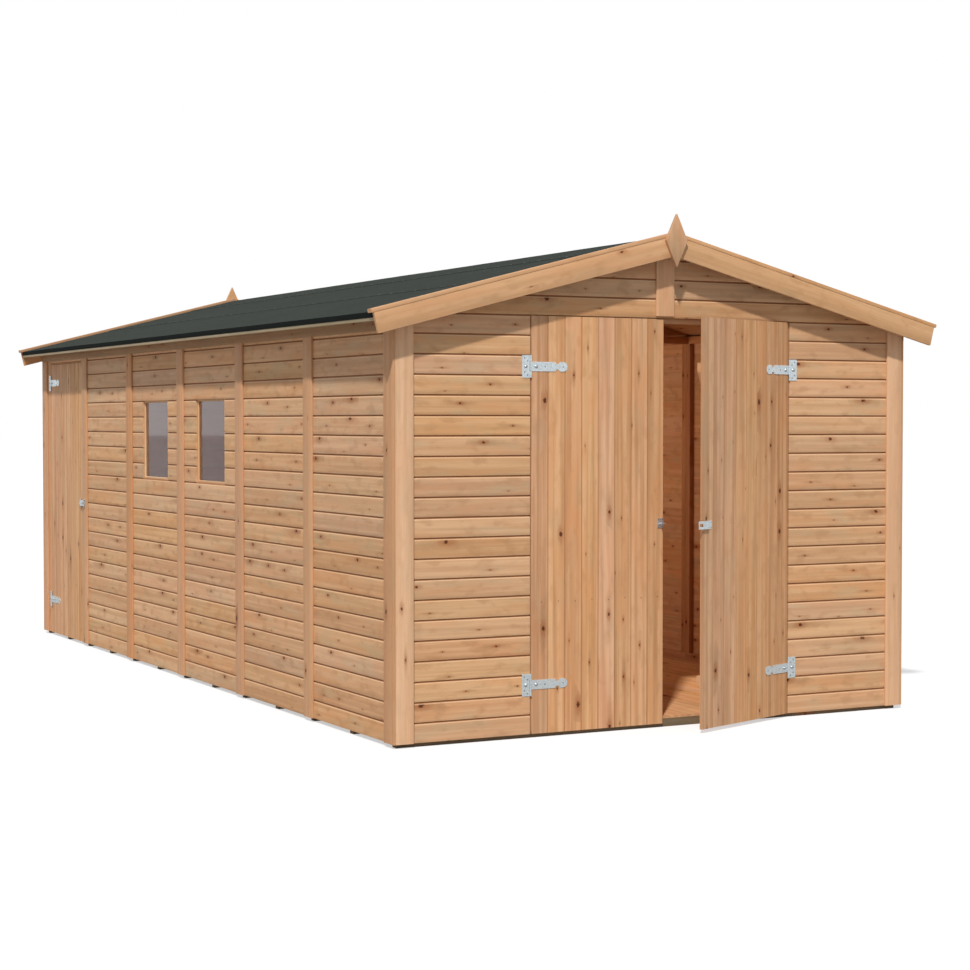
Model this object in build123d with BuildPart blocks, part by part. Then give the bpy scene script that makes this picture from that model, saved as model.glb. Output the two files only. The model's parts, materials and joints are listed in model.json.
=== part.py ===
from build123d import *
import math
import os

# Wooden garden shed, 3 m wide and 6 m long over its boards. The double door is in the front
# gable, which faces -Y. Two windows and a single door are in the long side that faces -X.
# The origin is on the ground under the middle of the floor. All sizes are in millimetres.

# Walls: boards on the outside of a light frame
wall_width = 2984.0
wall_length = 6016.0
cladding_t = 12.0
frame_depth = 30.0
frame_face = 45.0
side_panel_count = 6
panel_joint = 2.0
rear_post_count = 7

# Floor: boards on bearers, with the wall boards hanging down over its edge
bearer_height = 42.0
bearer_width = 45.0
bearer_count = 13
deck_t = 12.0
cladding_lap = 34.0
floor_clearance = 5.0

# Cover strips
strip_t = 12.0
strip_width = 110.0
corner_strip_width = 95.0
apex_strip_width = 105.0
apex_strip_rise = 9.0
eaves_board_height = 95.0

# Roof
roof_pitch = 14.33
roof_board_t = 12.0
felt_t = 2.0
felt_lap = 75.0
felt_strip = 640.0
felt_fold = 24.0
eaves_overhang = 137.0
verge_overhang = 80.0
eaves_batten_width = 20.0
eaves_batten_height = 26.0
verge_batten = 30.0
barge_height = 100.0
barge_t = 18.0
barge_reach = 11.0
mitre_gap = 1.0
cap_width = 45.0
cap_t = 17.5
cap_lip = 2.0
cap_reach = 15.0
finial_height = 265.0
finial_width = 125.0
finial_t = 20.0
finial_tip = 106.0
ridge_width = 30.0
ridge_height = 70.0
purlin_height = 45.0
truss_t = 45.0
rafter_height = 70.0
tie_height = 45.0

# Doors: upright boards on two ledges and a brace
front_doorway_width = 1534.0
front_doorway_height = 2037.0
eaves_over_front_head = 9.0
eaves_over_side_head = 116.0
side_door_to_strip = 7.0
side_hinge_to_corner_strip = 36.0
door_gap = 5.0
door_board_t = 12.0
ledge_height = 46.0
ledge_t = 28.0
ledge_inset = 10.0
brace_width = 46.0
ajar_angle = 20.8

# Tee hinges
hinge_rise = 240.0
front_hinge_drop = 246.0
side_hinge_drop = 130.0
hinge_plate_width = 42.0
hinge_plate_height = 109.0
hinge_plate_t = 2.5
hinge_knuckle_r = 4.5
hinge_pin_r = 2.5
pin_clearance = 0.06
knuckle_gap = 1.0
strap_width = 46.0
strap_length = 200.0
strap_notch_r = 11.0
strap_notch_back = 56.0

# Hasps and staples
hasp_height_above_bottom = 1010.0
side_hasp_height = 962.0
hasp_width = 40.0
hasp_plate_length = 32.0
hasp_plate_t = 2.0
hasp_knuckle_r = 5.0
hasp_knuckle_height = 14.0
hasp_pin_r = 2.0
hasp_setback = 41.0
side_hasp_setback = 9.0
hasp_reach = 22.0
hasp_slot_length = 30.0
hasp_slot_width = 16.0
staple_wire_r = 3.0
staple_width = 20.0
staple_depth = 26.0
staple_setback = 14.0
staple_plate_width = 36.0
staple_plate_height = 50.0
staple_plate_margin = 1.0
hasp_pad_width = 42.0
hasp_pad_height = 64.0

# Windows
plain_panel_count = 2
window_count = 2
window_width = 485.0
window_height = 485.0
window_sill = 1164.0
window_frame_width = 12.0
window_frame_depth = 24.0
glass_t = 4.0
glass_rebate = 5.0
glass_setback = 8.0

# Places worked out from the sizes above
half_width = wall_width / 2
half_length = wall_length / 2
floor_top = bearer_height + deck_t
cladding_bottom = floor_top - cladding_lap
pitch = math.radians(roof_pitch)
slope = math.tan(pitch)
wall_height = front_doorway_height + eaves_over_front_head
eaves_top = cladding_bottom + wall_height
inner_half_width = half_width - cladding_t - frame_depth
inner_half_length = half_length - cladding_t - frame_depth
panel_pitch = 2 * inner_half_length / side_panel_count
roof_half_width = half_width + eaves_overhang
roof_half_length = half_length + verge_overhang
barge_face = roof_half_length + barge_t
board_rise = roof_board_t / math.cos(pitch)
felt_rise = felt_t / math.cos(pitch)
eaves_board_bottom = eaves_top - eaves_board_height

front_door_half = front_doorway_width / 2
front_head = cladding_bottom + front_doorway_height
front_leaf_width = (front_doorway_width - 3 * door_gap) / 2
front_leaf_height = front_doorway_height - door_gap
side_head = eaves_top - eaves_over_side_head
last_joint = inner_half_length - panel_pitch
side_corner_strip_edge = half_length + strip_t - strip_width
side_hinge_reach = side_hinge_to_corner_strip + hinge_plate_width + hinge_knuckle_r + knuckle_gap
side_axis_y = side_corner_strip_edge - side_hinge_reach
side_door_front = last_joint + strip_width / 2 + side_door_to_strip
side_door_rear = side_axis_y + door_gap / 2
side_leaf_width = side_door_rear - side_door_front - 2 * door_gap
side_leaf_height = side_head - cladding_bottom - door_gap


def roof_line(x, drop=0.0):
    """Height of the underside of the roof boards at x, less an upright drop."""
    return eaves_top + (half_width - abs(x)) * slope - drop


def save(name, builder):
    """Label one finished sub-part and write it."""
    builder.part.label = name
    export_step(builder.part, "parts/" + name + ".step")


os.makedirs("parts", exist_ok=True)

# Planes of the two undersides of the roof, with their normals pointing up and out
left_underside = Plane(origin=(-half_width, 0, eaves_top), x_dir=(0, 1, 0), z_dir=(-slope, 0, 1))
right_underside = Plane(origin=(half_width, 0, eaves_top), x_dir=(0, 1, 0), z_dir=(slope, 0, 1))

# Floor
deck_half_width = half_width - cladding_t - floor_clearance
deck_half_length = half_length - cladding_t - floor_clearance
bearer_pitch = (2 * deck_half_length - bearer_width) / (bearer_count - 1)

with BuildPart() as floor_bearers:
    with Locations((0, 0, bearer_height / 2)):
        with GridLocations(0, bearer_pitch, 1, bearer_count):
            Box(2 * deck_half_width, bearer_width, bearer_height)
save("floor_bearers", floor_bearers)

with BuildPart() as floor_deck:
    with Locations((0, 0, bearer_height)):
        Box(2 * deck_half_width, 2 * deck_half_length, deck_t, align=(Align.CENTER, Align.CENTER, Align.MIN))
save("floor_deck", floor_deck)


# Gables
def under_roof_points(x0, x1, bottom, drop=0.0):
    """Corners of an upright face from x0 to x1 that runs up to the roof."""
    points = [(x0, bottom), (x1, bottom), (x1, roof_line(x1, drop))]
    if x0 < 0 < x1:
        points.append((0, roof_line(0, drop)))
    points.append((x0, roof_line(x0, drop)))
    return points


def gable_sheet(face_y, x0, x1, bottom, thickness):
    """Flat sheet with its front at face_y, as thick towards +Y, cut to the roof."""
    with BuildPart() as sheet:
        with BuildSketch(Plane.XZ.offset(-face_y - thickness)):
            with BuildLine():
                Polyline(*under_roof_points(x0, x1, bottom), close=True)
            make_face()
        extrude(amount=thickness)
    return sheet


def gable_frame(face_y, x0, x1, bottom, posts):
    """Frame of rails and posts cut to the roof, with a bay between each pair of posts."""
    with BuildPart() as frame:
        with BuildSketch(Plane.XZ.offset(-face_y - frame_depth)):
            with BuildLine():
                Polyline(*under_roof_points(x0, x1, bottom), close=True)
            make_face()
            for left_post, right_post in zip(posts, posts[1:]):
                bay_left = left_post + frame_face / 2
                bay_right = right_post - frame_face / 2
                top_rail = frame_face / math.cos(pitch)
                bay = under_roof_points(bay_left, bay_right, bottom + frame_face, top_rail)
                with BuildLine():
                    Polyline(*bay, close=True)
                make_face(mode=Mode.SUBTRACT)
        extrude(amount=frame_depth)
    return frame


front_face = -half_length
front_frame_face = front_face + cladding_t
rear_frame_face = inner_half_length
rear_board_face = half_length - cladding_t

front_left_panel = gable_sheet(front_face, -half_width, -front_door_half, cladding_bottom, cladding_t)
save("front_left_panel", front_left_panel)
front_right_panel = gable_sheet(front_face, front_door_half, half_width, cladding_bottom, cladding_t)
save("front_right_panel", front_right_panel)
front_head_panel = gable_sheet(front_face, -front_door_half, front_door_half, front_head, cladding_t)
save("front_head_panel", front_head_panel)

outer_post = half_width - frame_face / 2
door_post = front_door_half + frame_face / 2
front_left_frame = gable_frame(
    front_frame_face, -half_width, -front_door_half, floor_top, [-outer_post, -door_post]
)
save("front_left_frame", front_left_frame)
front_right_frame = gable_frame(
    front_frame_face, front_door_half, half_width, floor_top, [door_post, outer_post]
)
save("front_right_frame", front_right_frame)
head_post = front_door_half - frame_face / 2
front_head_frame = gable_frame(
    front_frame_face, -front_door_half, front_door_half, front_head, [-head_post, 0, head_post]
)
save("front_head_frame", front_head_frame)

rear_panel = gable_sheet(rear_board_face, -half_width, half_width, cladding_bottom, cladding_t)
save("rear_panel", rear_panel)
rear_post_pitch = 2 * outer_post / (rear_post_count - 1)
rear_posts = [-outer_post + step * rear_post_pitch for step in range(rear_post_count)]
rear_frame = gable_frame(rear_frame_face, -half_width, half_width, floor_top, rear_posts)
save("rear_frame", rear_frame)

# Strips on the gables: over the middle joint and at the corners
apex_bottom = front_head + apex_strip_rise
front_apex_strip = gable_sheet(
    front_face - strip_t, -apex_strip_width / 2, apex_strip_width / 2, apex_bottom, strip_t
)
save("front_apex_strip", front_apex_strip)
rear_centre_strip = gable_sheet(
    half_length, -apex_strip_width / 2, apex_strip_width / 2, cladding_bottom, strip_t
)
save("rear_centre_strip", rear_centre_strip)

strip_inner = half_width - corner_strip_width
with BuildPart() as gable_corner_strips:
    for face_y in (front_face - strip_t, half_length):
        for x0, x1 in ((-half_width, -strip_inner), (strip_inner, half_width)):
            with BuildSketch(Plane.XZ.offset(-face_y - strip_t)):
                with BuildLine():
                    Polyline(*under_roof_points(x0, x1, cladding_bottom), close=True)
                make_face()
            extrude(amount=strip_t)
save("gable_corner_strips", gable_corner_strips)


# Long sides
def side_sheet(side, inner_x, thickness, y0, y1, z0):
    """Upright sheet on one long side, cut off by the underside of the roof."""
    centre_x = side * (inner_x + thickness / 2)
    top = eaves_top + frame_depth
    with Locations((centre_x, (y0 + y1) / 2, (z0 + top) / 2)):
        Box(thickness, y1 - y0, top - z0)


def cut_by_roof(side):
    """Cut off what stands above the underside of the roof on one side."""
    underside = left_underside if side < 0 else right_underside
    split(bisect_by=underside, keep=Keep.BOTTOM)


def panel_span(index):
    """Front and rear end of one wall panel."""
    start = -inner_half_length + index * panel_pitch
    return start + panel_joint / 2, start + panel_pitch - panel_joint / 2


board_x = half_width - cladding_t
window_z = cladding_bottom + window_sill + window_height / 2
window_panels = range(plain_panel_count, plain_panel_count + window_count)
window_ys = [sum(panel_span(index)) / 2 for index in window_panels]

with BuildPart() as left_wall_panels:
    for index in range(side_panel_count - 1):
        panel_start, panel_end = panel_span(index)
        side_sheet(-1, board_x, cladding_t, panel_start, panel_end, cladding_bottom)
    cut_by_roof(-1)
    for window_y in window_ys:
        with Locations((-board_x - cladding_t / 2, window_y, window_z)):
            Box(2 * cladding_t, window_width, window_height, mode=Mode.SUBTRACT)
save("left_wall_panels", left_wall_panels)

bay_start, bay_end = panel_span(side_panel_count - 1)
with BuildPart() as left_door_side_panels:
    side_sheet(-1, board_x, cladding_t, bay_start, side_door_front, cladding_bottom)
    side_sheet(-1, board_x, cladding_t, side_door_rear, bay_end, cladding_bottom)
    cut_by_roof(-1)
save("left_door_side_panels", left_door_side_panels)

with BuildPart() as left_door_head_panel:
    side_sheet(-1, board_x, cladding_t, side_door_front, side_door_rear, side_head)
    cut_by_roof(-1)
save("left_door_head_panel", left_door_head_panel)

with BuildPart() as right_wall_panels:
    for index in range(side_panel_count):
        panel_start, panel_end = panel_span(index)
        side_sheet(1, board_x, cladding_t, panel_start, panel_end, cladding_bottom)
    cut_by_roof(1)
save("right_wall_panels", right_wall_panels)


def bay_cut(side, y0, y1, z0, z1):
    """Cut one bay through a side frame."""
    with Locations((side * (inner_half_width + frame_depth / 2), (y0 + y1) / 2, (z0 + z1) / 2)):
        Box(2 * frame_depth, y1 - y0, z1 - z0, mode=Mode.SUBTRACT)


def panel_bays(side, index, has_window):
    """Cut the bays of one panel: two tall ones, or those round a window."""
    panel_start, panel_end = panel_span(index)
    first = panel_start - panel_joint / 2 + frame_face
    last = panel_end + panel_joint / 2 - frame_face
    middle = (panel_start + panel_end) / 2
    low = floor_top + frame_face
    high = eaves_top - frame_face
    if has_window:
        window_low = window_z - window_height / 2
        window_high = window_z + window_height / 2
        near = middle - window_width / 2
        far = middle + window_width / 2
        bay_cut(side, near, far, window_low, window_high)
        bay_cut(side, first, middle - frame_face / 2, low, window_low - frame_face)
        bay_cut(side, middle + frame_face / 2, last, low, window_low - frame_face)
        bay_cut(side, first, middle - frame_face / 2, window_high + frame_face, high)
        bay_cut(side, middle + frame_face / 2, last, window_high + frame_face, high)
        bay_cut(side, first, near - frame_face, window_low, window_high)
        bay_cut(side, far + frame_face, last, window_low, window_high)
    else:
        bay_cut(side, first, middle - frame_face / 2, low, high)
        bay_cut(side, middle + frame_face / 2, last, low, high)


with BuildPart() as left_wall_frame:
    side_sheet(-1, inner_half_width, frame_depth, -inner_half_length, side_door_front, floor_top)
    cut_by_roof(-1)
    for index in range(side_panel_count - 1):
        panel_bays(-1, index, index in window_panels)
save("left_wall_frame", left_wall_frame)

with BuildPart() as left_door_head_rail:
    side_sheet(-1, inner_half_width, frame_depth, side_door_front, side_door_rear, side_head)
    cut_by_roof(-1)
save("left_door_head_rail", left_door_head_rail)

with BuildPart() as left_door_post:
    side_sheet(-1, inner_half_width, frame_depth, side_door_rear, inner_half_length, floor_top)
    cut_by_roof(-1)
save("left_door_post", left_door_post)

with BuildPart() as right_wall_frame:
    side_sheet(1, inner_half_width, frame_depth, -inner_half_length, inner_half_length, floor_top)
    cut_by_roof(1)
    for index in range(side_panel_count):
        panel_bays(1, index, False)
save("right_wall_frame", right_wall_frame)

# Strips on the long sides: over each joint, at the corners and along the eaves
strip_height = eaves_board_bottom - cladding_bottom
with BuildPart() as cover_strips:
    with Locations((0, 0, cladding_bottom + strip_height / 2)):
        for side in (-1, 1):
            with Locations((side * (half_width + strip_t / 2), 0, 0)):
                with GridLocations(0, panel_pitch, 1, side_panel_count - 1):
                    Box(strip_t, strip_width, strip_height)
save("cover_strips", cover_strips)

corner_y = half_length + strip_t - strip_width / 2
with BuildPart() as side_corner_strips:
    with Locations((0, 0, cladding_bottom + strip_height / 2)):
        with GridLocations(2 * half_width + strip_t, 2 * corner_y, 2, 2):
            Box(strip_t, strip_width, strip_height)
save("side_corner_strips", side_corner_strips)

eaves_board_end = half_length + strip_t
with BuildPart() as left_eaves_board:
    side_sheet(-1, half_width, strip_t, -eaves_board_end, eaves_board_end, eaves_board_bottom)
    cut_by_roof(-1)
save("left_eaves_board", left_eaves_board)

with BuildPart() as right_eaves_board:
    side_sheet(1, half_width, strip_t, -eaves_board_end, eaves_board_end, eaves_board_bottom)
    cut_by_roof(1)
save("right_eaves_board", right_eaves_board)

# Windows: a square frame behind the opening, rebated for the pane
frame_outer_x = board_x
glass_x = -(frame_outer_x - glass_setback - glass_t / 2)
glass_width = window_width - 2 * window_frame_width + 2 * glass_rebate
glass_height = window_height - 2 * window_frame_width + 2 * glass_rebate

with BuildPart() as window_frames:
    for window_y in window_ys:
        with Locations((-frame_outer_x + window_frame_depth / 2, window_y, window_z)):
            Box(window_frame_depth, window_width, window_height)
    for window_y in window_ys:
        with Locations((-frame_outer_x + window_frame_depth / 2, window_y, window_z)):
            Box(
                2 * window_frame_depth,
                window_width - 2 * window_frame_width,
                window_height - 2 * window_frame_width,
                mode=Mode.SUBTRACT,
            )
        with Locations((glass_x, window_y, window_z)):
            Box(glass_t, glass_width, glass_height, mode=Mode.SUBTRACT)
save("window_frames", window_frames)

with BuildPart() as window_glass:
    for window_y in window_ys:
        with Locations((glass_x, window_y, window_z)):
            Box(glass_t, glass_width, glass_height)
save("window_glass", window_glass)


# Roof boards
def roof_slab(side):
    """One slope of roof boards, with upright cuts at the ridge and the eaves."""
    with BuildPart() as slab:
        with BuildSketch(Plane.XZ.offset(-roof_half_length)):
            eaves_x = side * roof_half_width
            with BuildLine():
                Polyline(
                    (0, roof_line(0)),
                    (eaves_x, roof_line(eaves_x)),
                    (eaves_x, roof_line(eaves_x) + board_rise),
                    (0, roof_line(0) + board_rise),
                    close=True,
                )
            make_face()
        extrude(amount=2 * roof_half_length)
    return slab


roof_boards_left = roof_slab(-1)
save("roof_boards_left", roof_boards_left)
roof_boards_right = roof_slab(1)
save("roof_boards_right", roof_boards_right)


# Felt: three lengths on each slope, each over the one below, folded down at the eaves
def felt_top(x, layers):
    """Height of the top of so many layers of felt at x."""
    return roof_line(x, -board_rise - layers * felt_rise)


def felt_profile(side):
    """Points along the top of the felt from the fold at the eaves to the ridge."""
    edge = roof_half_width + felt_t
    points = [(side * edge, felt_top(edge, 1) - felt_fold), (side * edge, felt_top(edge, 1))]
    lap_start = roof_half_width - felt_strip
    while lap_start > 2 * felt_lap:
        lap_end = lap_start - felt_lap
        points.append((side * lap_start, felt_top(lap_start, 1)))
        points.append((side * lap_start, felt_top(lap_start, 2)))
        points.append((side * (lap_start - felt_t), felt_top(lap_start - felt_t, 2)))
        points.append((side * lap_end, felt_top(lap_end, 1)))
        lap_start = lap_end - felt_strip + felt_lap
    return points


with BuildPart() as roof_felt:
    with BuildSketch(Plane.XZ.offset(-roof_half_length)):
        left_points = felt_profile(-1)
        right_points = felt_profile(1)
        fold_z = felt_top(roof_half_width + felt_t, 1) - felt_fold
        with BuildLine():
            Polyline(
                *left_points,
                (0, felt_top(0, 1)),
                *reversed(right_points),
                (roof_half_width, fold_z),
                (roof_half_width, roof_line(roof_half_width, -board_rise)),
                (0, roof_line(0, -board_rise)),
                (-roof_half_width, roof_line(roof_half_width, -board_rise)),
                (-roof_half_width, fold_z),
                close=True,
            )
        make_face()
    extrude(amount=2 * roof_half_length)
save("roof_felt", roof_felt)

# Battens under the edges of the roof
eaves_batten_x = roof_half_width - eaves_batten_width
with BuildPart() as eaves_battens:
    for side in (-1, 1):
        with BuildSketch(Plane.XZ.offset(-roof_half_length)):
            outer_x = side * roof_half_width
            inner_x = side * eaves_batten_x
            batten_bottom = roof_line(roof_half_width, eaves_batten_height)
            with BuildLine():
                Polyline(
                    (outer_x, batten_bottom),
                    (inner_x, batten_bottom),
                    (inner_x, roof_line(inner_x)),
                    (outer_x, roof_line(outer_x)),
                    close=True,
                )
            make_face()
        extrude(amount=2 * roof_half_length)
save("eaves_battens", eaves_battens)


def verge_bar(side, rear_y, depth, outer_x, low_drop, high_drop, gap):
    """Bar that follows one slope, from the ridge to outer_x, with its rear face at rear_y."""
    with BuildSketch(Plane.XZ.offset(-rear_y)) as profile:
        start_x = side * gap / 2
        end_x = side * outer_x
        with BuildLine():
            Polyline(
                (start_x, roof_line(start_x, low_drop)),
                (end_x, roof_line(end_x, low_drop)),
                (end_x, roof_line(end_x, high_drop)),
                (start_x, roof_line(start_x, high_drop)),
                close=True,
            )
        make_face()
    extrude(profile.sketch, amount=depth)


with BuildPart() as verge_battens:
    for side in (-1, 1):
        for rear_y in (-roof_half_length + verge_batten, roof_half_length):
            verge_bar(side, rear_y, verge_batten, eaves_batten_x, verge_batten, 0, mitre_gap)
save("verge_battens", verge_battens)


# Barge boards, with ends cut square to their length
def sloping_board(side, rear_y, depth, top_drop, height, reach, gap):
    """Board along one slope: square at the eaves, upright at the ridge."""
    end_x = roof_half_width + reach
    lean = height * math.sin(pitch)
    drop = height / math.cos(pitch)
    with BuildSketch(Plane.XZ.offset(-rear_y)) as profile:
        with BuildLine():
            Polyline(
                (side * gap / 2, roof_line(gap / 2, top_drop)),
                (side * end_x, roof_line(end_x, top_drop)),
                (side * (end_x - lean), roof_line(end_x - lean, top_drop + drop)),
                (side * gap / 2, roof_line(gap / 2, top_drop + drop)),
                close=True,
            )
        make_face()
    extrude(profile.sketch, amount=depth)


barge_top_drop = -board_rise - felt_rise
with BuildPart() as barge_boards:
    for side in (-1, 1):
        for rear_y in (-roof_half_length, roof_half_length + barge_t):
            sloping_board(side, rear_y, barge_t, barge_top_drop, barge_height, barge_reach, mitre_gap)
save("barge_boards", barge_boards)

# Diamond finials on the peaks of the barge boards
finial_top = roof_line(0, barge_top_drop) + finial_tip
with BuildPart() as finials:
    for rear_y in (-barge_face, barge_face + finial_t):
        with BuildSketch(Plane.XZ.offset(-rear_y)):
            with BuildLine():
                Polyline(
                    (0, finial_top - finial_height),
                    (finial_width / 2, finial_top - finial_height / 2),
                    (0, finial_top),
                    (-finial_width / 2, finial_top - finial_height / 2),
                    close=True,
                )
            make_face()
        extrude(amount=finial_t)
save("finials", finials)

# Caps on the barge boards, notched round the finials and over the laps of the felt
cap_rise = cap_t / math.cos(pitch)
cap_top_drop = barge_top_drop - cap_rise
cap_front = barge_face + cap_lip
with BuildPart() as verge_caps:
    for side in (-1, 1):
        for rear_y in (-cap_front + cap_width, cap_front):
            sloping_board(side, rear_y, cap_width, cap_top_drop, cap_t, barge_reach + cap_reach, mitre_gap)
    add(finials.part, mode=Mode.SUBTRACT)
    add(roof_felt.part, mode=Mode.SUBTRACT)
save("verge_caps", verge_caps)

# Ridge beam and purlins, in lengths between the gables and the trusses
truss_ys = [-panel_pitch, panel_pitch]
span_ends = [-inner_half_length, *truss_ys, inner_half_length]
purlin_x = head_post
with BuildPart() as ridge_and_purlins:
    for span_start, span_end in zip(span_ends, span_ends[1:]):
        start_y = span_start + (truss_t / 2 if span_start in truss_ys else 0)
        end_y = span_end - (truss_t / 2 if span_end in truss_ys else 0)
        with BuildSketch(Plane.XZ.offset(-end_y)):
            with BuildLine():
                Polyline(
                    (-ridge_width / 2, roof_line(0, ridge_height)),
                    (ridge_width / 2, roof_line(0, ridge_height)),
                    (ridge_width / 2, roof_line(ridge_width / 2)),
                    (0, roof_line(0)),
                    (-ridge_width / 2, roof_line(ridge_width / 2)),
                    close=True,
                )
            make_face()
            for side in (-1, 1):
                near_x = side * (purlin_x - ridge_width / 2)
                far_x = side * (purlin_x + ridge_width / 2)
                with BuildLine():
                    Polyline(
                        (near_x, roof_line(purlin_x, purlin_height)),
                        (far_x, roof_line(purlin_x, purlin_height)),
                        (far_x, roof_line(far_x)),
                        (near_x, roof_line(near_x)),
                        close=True,
                    )
                make_face()
        extrude(amount=end_y - start_y)
save("ridge_and_purlins", ridge_and_purlins)

# Trusses: two rafters on a tie, with a post under the ridge
truss_bottom = eaves_top - tie_height
with BuildPart() as roof_trusses:
    for truss_y in truss_ys:
        with BuildSketch(Plane.XZ.offset(-truss_y - truss_t / 2)):
            with BuildLine():
                Polyline(*under_roof_points(-inner_half_width, inner_half_width, truss_bottom), close=True)
            make_face()
            foot_x = half_width - rafter_height / slope
            for side in (-1, 1):
                post_x = side * frame_face / 2
                with BuildLine():
                    Polyline(
                        (side * foot_x, eaves_top),
                        (post_x, eaves_top),
                        (post_x, roof_line(post_x, rafter_height)),
                        close=True,
                    )
                make_face(mode=Mode.SUBTRACT)
        extrude(amount=truss_t)
save("roof_trusses", roof_trusses)


# Doors. Each leaf has its own plane: the origin is on the hinge axis at the bottom of the
# leaf, local X runs to the free edge and local Z runs up. Out is +1 or -1, the side of
# local Y that faces out of the building.
front_axis_x = front_door_half - door_gap / 2
front_axis_y = -half_length - hinge_knuckle_r
side_axis_x = -half_width - hinge_knuckle_r
ajar = math.radians(ajar_angle)

left_leaf = Plane(
    origin=(-front_axis_x, front_axis_y, cladding_bottom), x_dir=(1, 0, 0), z_dir=(0, 0, 1)
)
right_leaf = Plane(
    origin=(front_axis_x, front_axis_y, cladding_bottom),
    x_dir=(-math.cos(ajar), -math.sin(ajar), 0),
    z_dir=(0, 0, 1),
)
side_leaf = Plane(origin=(side_axis_x, side_axis_y, cladding_bottom), x_dir=(0, -1, 0), z_dir=(0, 0, 1))
right_jamb = Plane(
    origin=(front_axis_x, front_axis_y, cladding_bottom), x_dir=(-1, 0, 0), z_dir=(0, 0, 1)
)


def leaf_block(out, x0, x1, o0, o1, z0, z1, mode=Mode.ADD):
    """Block in a leaf's plane, between two distances outward from the hinge axis."""
    with Locations(((x0 + x1) / 2, out * (o0 + o1) / 2, (z0 + z1) / 2)):
        Box(abs(x1 - x0), abs(o1 - o0), abs(z1 - z0), mode=mode)


def door_boards(plane, out, width, height):
    """The upright boards of one leaf as one sheet."""
    face = -hinge_knuckle_r
    with BuildPart(plane) as boards:
        leaf_block(out, door_gap / 2, door_gap / 2 + width, face - door_board_t, face, 0, height)
    return boards


def door_ledges(plane, out, width, height, drop):
    """Two ledges and the brace between them, behind the boards."""
    back = -hinge_knuckle_r - door_board_t
    start = door_gap / 2 + ledge_inset
    end = door_gap / 2 + width - ledge_inset
    upper = height - drop
    with BuildPart(plane) as ledges:
        for ledge_z in (hinge_rise, upper):
            leaf_block(
                out, start, end, back - ledge_t, back, ledge_z - ledge_height / 2, ledge_z + ledge_height / 2
            )
        low = hinge_rise + ledge_height / 2
        high = upper - ledge_height / 2
        run = end - start
        rise = high - low
        foot = brace_width * math.hypot(run, rise) / rise
        brace_y = -out * (hinge_knuckle_r + door_board_t)
        brace_plane = Plane(
            origin=plane.from_local_coords((0, brace_y, 0)), x_dir=plane.x_dir, z_dir=plane.y_dir * -out
        )
        flip = 1 if brace_plane.y_dir.Z > 0 else -1
        with BuildSketch(brace_plane):
            with BuildLine():
                Polyline(
                    (start, flip * low),
                    (start + foot, flip * low),
                    (end, flip * high),
                    (end - foot, flip * high),
                    close=True,
                )
            make_face()
        extrude(amount=ledge_t)
    return ledges


def drum(radius, z0, z1, mode=Mode.ADD):
    """Upright round bar on the hinge axis."""
    with Locations((0, 0, (z0 + z1) / 2)):
        Cylinder(radius, z1 - z0, mode=mode)


def hinge_plates(out, heights):
    """Fixed plates of the tee hinges, with their outer knuckles and pins."""
    face = -hinge_knuckle_r
    plate_start = -hinge_knuckle_r - knuckle_gap
    middle = strap_width / 2 + knuckle_gap
    top = hinge_plate_height / 2
    for hinge_z in heights:
        leaf_block(
            out,
            plate_start - hinge_plate_width,
            plate_start,
            face,
            face + hinge_plate_t,
            hinge_z - top,
            hinge_z + top,
        )
        for z0, z1 in ((hinge_z + middle, hinge_z + top), (hinge_z - top, hinge_z - middle)):
            leaf_block(out, plate_start, 0, face, face + hinge_plate_t, z0, z1)
            drum(hinge_knuckle_r, z0, z1)
        drum(hinge_pin_r, hinge_z - top, hinge_z + top)


def hinge_straps(plane, out, heights):
    """Moving straps: a knuckle, a flat bar, a waist between two notches and a round end."""
    face = -hinge_knuckle_r
    half_strap = strap_width / 2
    root = hinge_knuckle_r + knuckle_gap
    end_centre = root + strap_length - half_strap
    notch_x = root + strap_length - strap_notch_back
    with BuildPart(plane) as straps:
        for hinge_z in heights:
            leaf_block(
                out, 0, end_centre, face, face + hinge_plate_t, hinge_z - half_strap, hinge_z + half_strap
            )
            drum(hinge_knuckle_r, hinge_z - half_strap, hinge_z + half_strap)
            with Locations(Location((end_centre, out * (face + hinge_plate_t / 2), hinge_z), (90, 0, 0))):
                Cylinder(half_strap, hinge_plate_t)
            for notch_z in (hinge_z - half_strap, hinge_z + half_strap):
                with Locations(Location((notch_x, out * (face + hinge_plate_t / 2), notch_z), (90, 0, 0))):
                    Cylinder(strap_notch_r, 2 * hinge_plate_t, mode=Mode.SUBTRACT)
            drum(hinge_pin_r + pin_clearance, hinge_z - strap_width, hinge_z + strap_width, Mode.SUBTRACT)
    return straps


front_heights = (hinge_rise, front_leaf_height - front_hinge_drop)
side_heights = (hinge_rise, side_leaf_height - side_hinge_drop)

with BuildPart(left_leaf) as left_hinge_plates:
    hinge_plates(-1, front_heights)
save("left_hinge_plates", left_hinge_plates)
with BuildPart(right_jamb) as right_hinge_plates:
    hinge_plates(1, front_heights)
save("right_hinge_plates", right_hinge_plates)
with BuildPart(side_leaf) as side_hinge_plates:
    hinge_plates(-1, side_heights)
save("side_hinge_plates", side_hinge_plates)

left_door_boards = door_boards(left_leaf, -1, front_leaf_width, front_leaf_height)
save("left_door_boards", left_door_boards)
left_door_ledges = door_ledges(left_leaf, -1, front_leaf_width, front_leaf_height, front_hinge_drop)
save("left_door_ledges", left_door_ledges)
left_door_straps = hinge_straps(left_leaf, -1, front_heights)
save("left_door_straps", left_door_straps)

right_door_boards = door_boards(right_leaf, 1, front_leaf_width, front_leaf_height)
save("right_door_boards", right_door_boards)
right_door_ledges = door_ledges(right_leaf, 1, front_leaf_width, front_leaf_height, front_hinge_drop)
save("right_door_ledges", right_door_ledges)
right_door_straps = hinge_straps(right_leaf, 1, front_heights)
save("right_door_straps", right_door_straps)

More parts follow.
